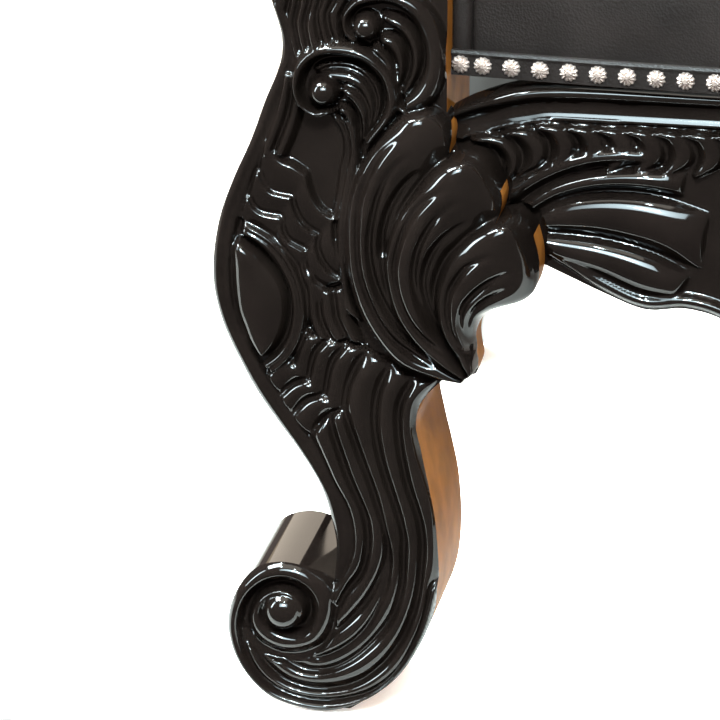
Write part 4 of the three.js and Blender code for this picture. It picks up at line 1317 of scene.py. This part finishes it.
    def build(self, lacquer: bpy.types.Material) -> None:
        """Build the apron.

        Args:
            lacquer: Its finish.
        """
        canvas = Canvas((-264, self.low), (264, self.high))
        self.carve(canvas)
        canvas.mirror()
        canvas.height = blurred(canvas.height, 1.2)
        side = np.arange(self.near_leg, 263, self.fine)
        middle = np.linspace(-self.near_leg, self.near_leg, int(2 * self.near_leg / self.coarse))
        xs = np.concatenate([-side[::-1], middle[1:-1], side])
        zs = np.arange(self.low + 1, self.high - 1, self.rows)
        board = slab("front_apron_carved", canvas, xs, zs, self.thick + SPARE)
        combine(board, prism("board", self.outline(), CLEAR, self.thick), "INTERSECT")
        room = self.leaf_room()
        for sign in (1, -1):
            combine(board, prism("room", [(sign * x, z) for x, z in room], CLEAR, -0.5), "DIFFERENCE")
        shade_carving(board, SHARP_ANGLE)
        board.data.transform(Matrix.Translation((0, LEG_FRONT_Y + self.setback * MM, 0)))
        finish(board, lacquer)
        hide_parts("front_apron")


@dataclass
class BackPlane:
    """The leaning plane of the back: z runs up the posts and y into their depth."""

    foot: float = 500.0
    front: float = 176.0
    lean: float = 7.0
    stile: float = 990.0
    shift: float = LEG_FRONT_Y / MM + 346.0

    def matrix(self, y: float, z: float) -> Matrix:
        """Placement of a drawing whose origin stands at y and z of the plane.

        Args:
            y: Depth behind the plane's front.
            z: Height along the plane.

        Returns:
            The placement.
        """
        base = Matrix.Translation((0, (self.front + self.shift) * MM, self.foot * MM))
        turn = Matrix.Rotation(-math.radians(self.lean), 4, "X")
        return base @ turn @ Matrix.Translation((0, y * MM, z * MM))


@dataclass
class Crest:
    """The carved top rail of the back: a shell between two pairs of scrolls."""

    plane: BackPlane = field(default_factory=BackPlane)
    thick: float = 52.0
    pitch: float = 1.8

    def outline(self) -> Rail:
        """Outline of the whole rail.

        Returns:
            Its corners.
        """
        half = smooth_path([
            (0, 252), (26, 244), (52, 214), (74, 176), (112, 150), (150, 154), (184, 166), (218, 152),
            (244, 118), (276, 88), (316, 84), (348, 66), (356, 36), (344, 0.3)], 3.0)
        return [(-x, z) for x, z in half[::-1][:-1]] + [tuple(p) for p in half]

    def carve(self, canvas: Canvas) -> None:
        """Carve the half at +X.

        Args:
            canvas: Canvas to carve on.
        """
        canvas.band(
            [(0, 244), (22, 236), (46, 208), (68, 168), (110, 142), (150, 146), (184, 158), (212, 146),
             (238, 112), (274, 80), (314, 76), (341, 61), (348, 36), (338, 6)], 9, 9,
            Section(left=4, right=4, crown=5, head=0.01, full=0.7))
        canvas.band([(-3, 8), (338, 8)], 10, 10, Section(left=4, right=4, crown=5, head=0.01, full=0.7))
        scroll = Section(left=6, right=6, crown=9, head=0.05, full=0.7, ribs=2, rib=2)
        canvas.band([
            (20, 22), (80, 34), (130, 70), (170, 124), (203, 134), (222, 112), (206, 90),
            (188, 98)], 22, 9, scroll)
        canvas.dome((202, 110), 10, 10, 15, base=3)
        canvas.band([
            (120, 24), (190, 32), (250, 56), (300, 66), (334, 54), (336, 32), (318, 25),
            (308, 38)], 19, 8, scroll)
        canvas.dome((321, 43), 9, 9, 14, base=3)
        for x, z in ((84, 128), (66, 164), (44, 198), (14, 226)):
            canvas.raised(
                [(x * 0.16 - 6, 60 + z * 0.05), (x * 0.62 - 9, z * 0.62 + 25), (x - 13, z + 6)][::-1],
                [(x * 0.16 + 6, 60 + z * 0.05), (x * 0.62 + 9, z * 0.62 + 15), (x + 13, z - 6)][::-1],
                Section(left=5, right=5, crown=15, head=0.3, tail=0.7, full=0.7))
            canvas.groove([(x * 0.9, z * 0.9 + 5), (x * 0.6, z * 0.6 + 20), (x * 0.2, 66 + z * 0.05)], 7, 3.5,
                          soft_start=0.4)
        canvas.dome((0, 78), 30, 38, 26, base=3)

    def build(self, lacquer: bpy.types.Material) -> None:
        """Build the crest rail.

        Args:
            lacquer: Its finish.
        """
        canvas = Canvas((-362, -4), (362, 262))
        self.carve(canvas)
        canvas.mirror()
        canvas.height = blurred(canvas.height, 1.5)
        rail = slab("crest_rail_carved", canvas, np.linspace(-360, 360, int(720 / self.pitch)),
                    np.arange(-3, 260, self.pitch), self.thick + SPARE)
        combine(rail, prism("board", self.outline(), CLEAR, self.thick), "INTERSECT")
        shade_carving(rail, SHARP_ANGLE)
        rail.data.transform(self.plane.matrix(4, self.plane.stile))
        finish(rail, lacquer)
        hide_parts("crest_rail")


@dataclass
class Rails:
    """Plain shaped members with eased edges: side aprons, rear legs, arms and cross rails."""

    plane: BackPlane = field(default_factory=BackPlane)
    rail_top: float = 404.7
    leg_back: float = -265.7
    ease: float = 5.0
    between: float = 282.7
    splay: float = 62.0
    splay_top: float = 318.0

    def eased(self, piece: bpy.types.Object, node: str, lacquer: bpy.types.Material) -> None:
        """Round the edges of a member and dress it.

        Args:
            piece: The member.
            node: The CAD node that it stands for.
            lacquer: Its finish.
        """
        apply_modifier(piece, "BEVEL", width=self.ease * MM, segments=3, limit_method="ANGLE",
                       angle_limit=math.radians(38))
        shade_smooth(piece, 35)
        finish(piece, lacquer)
        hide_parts(node)

    def sideways(self, name: str, outline: Rail, across: Point, lacquer: bpy.types.Material) -> None:
        """Make a pair of members drawn in y and z.

        Args:
            name: Common name of the two nodes.
            outline: Outline in y and z.
            across: Their extent in x on the +X side.
            lacquer: Their finish.
        """
        turned = [(-y - self.plane.shift, z) for y, z in outline]
        for side, (low, high) in (("left", across), ("right", (-across[1], -across[0]))):
            piece = prism(f"{name}_{side}_shaped", turned, -low, high)
            piece.data.transform(Matrix.Rotation(math.radians(-90), 4, "Z"))
            if name == "back_post":
                self.splay_leg(piece, 1 if side == "left" else -1)
            self.eased(piece, f"{name}_{side}", lacquer)

    def splay_leg(self, piece: bpy.types.Object, side: int) -> None:
        """Lean a rear leg outward below the seat rail.

        Args:
            piece: The post.
            side: 1 at +X and -1 at -X.
        """
        activate(piece)
        bpy.ops.object.mode_set(mode="EDIT")
        bpy.ops.mesh.select_all(action="SELECT")
        bpy.ops.mesh.bisect(plane_co=(0, 0, self.splay_top * MM), plane_no=(0, 0, 1))
        bpy.ops.object.mode_set(mode="OBJECT")
        for vertex in piece.data.vertices:
            drop = max(0.0, 1 - vertex.co.z / (self.splay_top * MM))
            vertex.co.x += side * self.splay * MM * drop

    def crossbar(self, node: str, rise: Point, depth: Point, place: Matrix,
                 lacquer: bpy.types.Material) -> None:
        """Make a straight rail between the posts.

        Args:
            node: The CAD node that it stands for.
            rise: Its lower and upper edge.
            depth: Height of its front and depth of its back.
            place: Where its drawing stands.
            lacquer: Its finish.
        """
        half, (low, high) = self.between, rise
        outline = [(-half, low), (half, low), (half, high), (-half, high)]
        piece = prism(f"{node}_shaped", outline, *depth)
        piece.data.transform(place)
        self.eased(piece, node, lacquer)

    def back_face(self, z: float) -> float:
        """Place of the back's front face at a height."""
        return self.plane.front + max(0.0, z - self.plane.foot) * math.tan(math.radians(self.plane.lean))

    def build(self, lacquer: bpy.types.Material) -> None:
        """Build every member.

        Args:
            lacquer: Their finish.
        """
        front, foot = self.plane.front, self.plane.foot
        lean = math.radians(self.plane.lean)
        top = (front + self.plane.stile * math.sin(lean), foot + self.plane.stile * math.cos(lean))
        depth = (60 * math.cos(lean), -60 * math.sin(lean))
        self.sideways("side_apron",
                      outline_of(
                          [(self.leg_back, 318), (-190, 322), (-110, 336), (-30, 342), (60, 330),
                           (front - GAP, 312)],
                          [(front - GAP, 312), (front - GAP, self.rail_top)],
                          [(front - GAP, self.rail_top), (self.leg_back, self.rail_top)], step=6.0),
                      (290, 336), lacquer)
        self.sideways("back_post",
                      outline_of(
                          [(front + 152, 0), (front + 110, 120), (front + 76, 270), (front + 62, 400),
                           (front + depth[0], foot + depth[1])],
                          [(front + depth[0], foot + depth[1]), (top[0] + depth[0], top[1] + depth[1])],
                          [(top[0] + depth[0], top[1] + depth[1]), top], [top, (front, foot)],
                          [(front, foot), (front, 400), (front + 12, 270), (front + 44, 120),
                           (front + 98, 0)], step=6.0), (283, 345), lacquer)
        over, under = self.back_face(686) - GAP, self.back_face(640) - GAP
        self.sideways("arm",
                      outline_of(
                          [(self.leg_back, 686), (-160, 676), (-40, 670), (80, 676), (over, 686)],
                          [(over, 686), (under, 640)],
                          [(under, 640), (100, 634), (-20, 628), (-150, 630), (self.leg_back, 640)],
                          step=6.0), (292, 344), lacquer)
        behind = Matrix.Translation((0, (front + 8 + self.plane.shift) * MM, 0))
        self.crossbar("rear_rail", (320, self.rail_top), (0, 36), behind, lacquer)
        self.crossbar("lower_back_rail", (10, 69.7), (-8, 48), self.plane.matrix(0, 0), lacquer)


@dataclass
class Pad:
    """A padded leather part that is blown up as cloth from its solid."""

    node: str
    voxel: float
    cap: float
    pressure: float = 4.0
    shrink: float = 2.0
    fill: float = 0.8
    frames: int = 20

    def build(self, leather: bpy.types.Material) -> bpy.types.Object:
        """Build the padded part.

        Args:
            leather: Its finish.

        Returns:
            The finished part.
        """
        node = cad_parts[self.node]
        piece = node.copy()
        piece.data = node.data.copy()
        piece.name = f"{self.node}_padded"
        bpy.context.scene.collection.objects.link(piece)
        activate(piece)
        bpy.ops.object.mode_set(mode="EDIT")
        bpy.ops.mesh.select_all(action="SELECT")
        bpy.ops.mesh.remove_doubles(threshold=1e-5)
        bpy.ops.mesh.normals_make_consistent(inside=False)
        bpy.ops.object.mode_set(mode="OBJECT")
        apply_modifier(piece, "REMESH", mode="VOXEL", voxel_size=self.voxel * MM)
        self.soften(piece)
        self.inflate(piece)
        apply_modifier(piece, "SUBSURF", levels=1, render_levels=1)
        activate(piece)
        bpy.ops.object.shade_smooth()
        finish(piece, leather)
        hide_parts(self.node)
        return piece

    def soften(self, piece: bpy.types.Object) -> None:
        """Draw the surface in a little and round its edges.

        Args:
            piece: The remeshed copy of the solid.
        """
        mesh = piece.data
        place = np.empty(3 * len(mesh.vertices))
        normal = np.empty_like(place)
        mesh.vertices.foreach_get("co", place)
        mesh.vertices.foreach_get("normal", normal)
        mesh.vertices.foreach_set("co", place - normal * self.shrink * MM)
        mesh.update()
        apply_modifier(piece, "SMOOTH", factor=0.5, iterations=4)

    def inflate(self, piece: bpy.types.Object) -> None:
        """Blow the skin up with the cloth simulation and keep its last frame.

        Args:
            piece: The softened skin.
        """
        mesh = piece.data
        start = np.empty(3 * len(mesh.vertices))
        mesh.vertices.foreach_get("co", start)
        cloth = piece.modifiers.new("cloth", "CLOTH")
        cloth.settings.use_pressure = True
        cloth.settings.uniform_pressure_force = self.pressure
        cloth.settings.effector_weights.gravity = 0.0
        cloth.settings.quality = 5
        scene = bpy.context.scene
        for number in range(1, self.frames + 1):
            scene.frame_set(number)
        evaluated = piece.evaluated_get(bpy.context.evaluated_depsgraph_get())
        end = np.empty_like(start)
        evaluated.data.vertices.foreach_get("co", end)
        piece.modifiers.remove(cloth)
        move = (end - start).reshape(-1, 3)
        length = np.linalg.norm(move, axis=1)
        limit = self.cap * MM
        share = np.where(length > 1e-9, limit * np.tanh(length / limit) / np.maximum(length, 1e-9), 0.0)
        mesh.vertices.foreach_set("co", start + (move * share[:, None]).ravel())
        mesh.update()
        scene.frame_set(1)


@dataclass
class SeatTrim:
    """The nailed leather strip along the seat's lower edge, with its welt and nailheads."""

    inner: float = 260.2
    setback: float = 14.0
    bow: float = 14.0
    side: float = 306.0
    wide_from: float = -262.0
    rear: float = 173.0
    bottom: float = 405.0
    strip_low: float = 2.6
    strip_height: float = 12.0
    strip_thick: float = 2.5
    pitch: float = 17.0
    nail_radius: float = 5.4
    nail_sides: int = 24
    nail_rings: tuple = ((1.0, 0.0), (0.97, 0.9), (0.8, 1.9), (0.56, 2.5), (0.38, 2.35), (0.22, 3.0))
    nail_up: float = 6.8
    nail_sunk: float = 0.3
    petal: float = 0.10
    end_nail: float = 5.7
    next_nail: float = 19.0
    welt_radius: float = 2.2
    welt_out: float = 1.5
    corner: float = 12.0
    corner_top: float = 492.0

    def front_line(self, x: np.ndarray) -> np.ndarray:
        """Front face of the seat across x, in metres along y."""
        return LEG_FRONT_Y + (self.setback - self.bow * (1 - (x / self.inner) ** 2)) * MM

    def runs(self) -> list[np.ndarray]:
        """Lines in plan that the strip follows, front first, then both sides.

        Returns:
            The three lines, in metres.
        """
        x = np.linspace(-self.inner + 1, self.inner - 1, 60)
        front = np.column_stack([x * MM, self.front_line(x)])
        y = np.linspace(self.rear - 3, self.wide_from + 3, 30) + LEG_FRONT_Y / MM + 346.0
        right = np.column_stack([np.full(30, -self.side), y]) * MM
        left = np.column_stack([np.full(30, self.side), y[::-1]]) * MM
        return [front, right, left]

    def sweep(self, name: str, run: np.ndarray, profile: list[Point]) -> bpy.types.Object:
        """Sweep a closed section along a line in plan.

        Args:
            name: Name of the piece.
            run: Line in plan, in metres, with the outside on its right hand.
            profile: Section as distance outwards and height, in millimetres.

        Returns:
            The swept piece.
        """
        ahead = np.gradient(run, axis=0)
        ahead /= np.linalg.norm(ahead, axis=1)[:, None]
        out = np.column_stack([ahead[:, 1], -ahead[:, 0]])
        points, faces = [], []
        count = len(profile)
        for spot, way in zip(run, out):
            points += [(*(spot + way * o * MM), z * MM) for o, z in profile]
        for i in range(len(run) - 1):
            for k in range(count):
                a, b = i * count + k, i * count + (k + 1) % count
                faces.append((a, b, b + count, a + count))
        faces += [list(range(count))[::-1], list(range(len(points) - count, len(points)))]
        piece = mesh_piece(name, points, faces)
        face_outward(piece)
        return piece

    def nailheads(self, name: str, places: list, silver: bpy.types.Material) -> None:
        """Daisy nailheads at places, each with its outward direction.

        Args:
            name: Name of the piece.
            places: Pairs of place and direction.
            silver: Their finish.
        """
        sides, rings = self.nail_sides, self.nail_rings
        turns = np.linspace(0, 2 * math.pi, sides, endpoint=False)
        points, faces = [], []
        for place, way in places:
            base = len(points)
            across = Vector((0, 0, 1)).cross(way).normalized()
            for reach, rise in rings:
                for turn, angle in enumerate(turns):
                    petal = (self.petal if turn % 2 else -self.petal) * (reach > 0.3)
                    r = self.nail_radius * reach * (1 + petal * 0.6)
                    h = rise * (1 + 2.4 * petal)
                    out = across * math.cos(angle) + Vector((0, 0, 1)) * math.sin(angle)
                    points.append(place + out * r * MM + way * h * MM)
            for ring in range(len(rings) - 1):
                for k in range(sides):
                    a, b = base + ring * sides + k, base + ring * sides + (k + 1) % sides
                    faces.append((a, b, b + sides, a + sides))
            faces.append([base + (len(rings) - 1) * sides + k for k in range(sides)])
            faces.append([base + k for k in range(sides)][::-1])
        piece = mesh_piece(name, points, faces)
        face_outward(piece)
        shade_smooth(piece, 50)
        finish(piece, silver)

    def build(self, leather: bpy.types.Material, silver: bpy.types.Material) -> None:
        """Build the strip, its welt and its nails.

        Args:
            leather: Finish of the strip.
            silver: Finish of the nails.
        """
        low = self.bottom + self.strip_low
        high = low + self.strip_height
        strip = [(-2, low), (self.strip_thick, low), (self.strip_thick, high), (-2, high)]
        out, radius = self.welt_out, self.welt_radius
        welt = [(out + radius * math.cos(a), high + out + radius * math.sin(a))
                for a in np.linspace(0, 2 * math.pi, 8)[:-1]]
        for place, run in zip(("front", "right", "left"), self.runs()):
            band = self.sweep(f"seat_strip_{place}", run, strip)
            cord = self.sweep(f"seat_welt_{place}", run, welt)
            for piece in (band, cord):
                shade_smooth(piece, 40)
                finish(piece, leather)
            places = []
            reach = np.concatenate([[0], np.cumsum(np.linalg.norm(np.diff(run, axis=0), axis=1))]) / MM
            ahead = np.gradient(run, axis=0)
            first, last = self.next_nail, reach[-1] - self.next_nail
            inner = np.linspace(first, last, round((last - first) / self.pitch) + 1)
            for at in (self.end_nail, *inner, reach[-1] - self.end_nail):
                spot = [np.interp(at, reach, run[:, k]) for k in (0, 1)]
                dx, dy = (np.interp(at, reach, ahead[:, k]) for k in (0, 1))
                way = Vector((dy, -dx, 0)).normalized()
                seat = Vector((*spot, (low + self.nail_up) * MM))
                places.append((seat + way * (self.strip_thick - self.nail_sunk) * MM, way))
            self.nailheads(f"nailheads_{place}", places, silver)
        for side, x in (("right", self.corner - self.inner), ("left", self.inner)):
            near, top = x - self.corner, self.corner_top
            edge = [(near, low), (x, low), (x, top), (near, top)]
            roll = prism(f"seat_corner_{side}", edge, -0.5, self.corner)
            roll.data.transform(Matrix.Translation((0, float(self.front_line(np.array(self.inner - 6))), 0)))
            apply_modifier(roll, "BEVEL", width=self.corner * 0.4 * MM, segments=4)
            shade_smooth(roll, 40)
            finish(roll, leather)


@dataclass
class Studio:
    """Pale floor, soft lamps and the camera at the photograph's angle."""

    azimuth: float = 11.0
    elevation: float = 20.0
    distance: float = 2.5
    lens: float = 208.33
    aim: tuple = (-0.3117, 0.0, 0.2300)
    floor_size: float = 12.0
    floor_place: tuple = (0, 5.6, -0.0005)
    floor_colour: tuple = (0.82, 0.78, 0.73)
    room_colour: tuple = (1.0, 0.84, 0.76, 1)
    room_light: float = 0.6

    def camera(self) -> None:
        """Set the camera, aimed at a point of the leg's front plane."""
        target = Vector((self.aim[0], LEG_FRONT_Y, self.aim[2]))
        a, e = math.radians(self.azimuth), math.radians(self.elevation)
        away = Vector((math.sin(a) * math.cos(e), -math.cos(a) * math.cos(e), math.sin(e)))
        data = bpy.data.cameras.new("camera")
        data.lens = self.lens
        data.sensor_width = 36.0
        camera = bpy.data.objects.new("camera", data)
        camera.location = target + away * self.distance
        camera.rotation_euler = (-away).to_track_quat("-Z", "Y").to_euler()
        bpy.context.scene.collection.objects.link(camera)
        bpy.context.scene.camera = camera

    def lamps(self) -> None:
        """Hang the lamps of the studio."""
        for lamp in Lamp:
            (width, height), power, spread, place, aim, colour = lamp.value
            data = bpy.data.lights.new(lamp.name.lower(), "AREA")
            data.shape = "RECTANGLE"
            data.size, data.size_y = width, height
            data.energy = power
            data.spread = math.radians(spread)
            data.color = colour
            light = bpy.data.objects.new(lamp.name.lower(), data)
            light.location = place
            light.rotation_euler = (Vector(aim) - Vector(place)).to_track_quat("-Z", "Y").to_euler()
            light.visible_camera = False
            bpy.context.scene.collection.objects.link(light)

    def surroundings(self) -> None:
        """Lay the pale floor and set the pale surroundings."""
        deselect_all()
        bpy.ops.mesh.primitive_plane_add(size=self.floor_size, location=self.floor_place)
        floor = bpy.context.object
        floor.name = "floor"
        floor.data.materials.append(Backing("pale_floor", self.floor_colour).material())
        bpy.context.scene.view_settings.view_transform = "Standard"
        world = bpy.data.worlds.new("studio")
        bpy.context.scene.world = world
        world.use_nodes = True
        nodes, links = world.node_tree.nodes, world.node_tree.links
        shade = nodes["Background"]
        seen = nodes.new("ShaderNodeBackground")
        seen.inputs["Color"].default_value = (1, 1, 1, 1)
        seen.inputs["Strength"].default_value = 1.0
        shade.inputs["Color"].default_value = self.room_colour
        shade.inputs["Strength"].default_value = self.room_light
        ray = nodes.new("ShaderNodeLightPath")
        mix = nodes.new("ShaderNodeMixShader")
        links.new(ray.outputs["Is Camera Ray"], mix.inputs["Fac"])
        links.new(shade.outputs["Background"], mix.inputs[1])
        links.new(seen.outputs["Background"], mix.inputs[2])
        links.new(mix.outputs["Shader"], nodes["World Output"].inputs["Surface"])

    def build(self) -> None:
        """Set up the whole studio."""
        self.camera()
        self.lamps()
        self.surroundings()


def main() -> None:
    """Dress the throne and report each piece."""
    logging.basicConfig(level=logging.INFO, format="%(name)s: %(message)s")
    Studio().build()
    lacquer, leather, silver = (kind().material() for kind in (Lacquer, Leather, Silver))
    # Brown material for the legs' inner walls: a painted reflection of a warm floor, standing in for what
    # their gloss would reflect.
    wall_reflection_paint = Lacquer("painted_wall_reflection", base=(0.115, 0.040, 0.008), roughness=0.35, coat=0.06).material()
    FrontLegs().build(lacquer, wall_reflection_paint)
    Apron().build(lacquer)
    Crest().build(lacquer)
    Rails().build(lacquer)
    Pad("seat", voxel=6.0, cap=8.0).build(leather)
    Pad("back_panel", voxel=8.0, cap=16.0, shrink=2.5).build(leather)
    for side in ("left", "right"):
        Pad(f"arm_pad_{side}", voxel=3.0, cap=4.0, shrink=1.5).build(leather)
    SeatTrim().build(leather, silver)


if __name__ == "__main__":
    main()
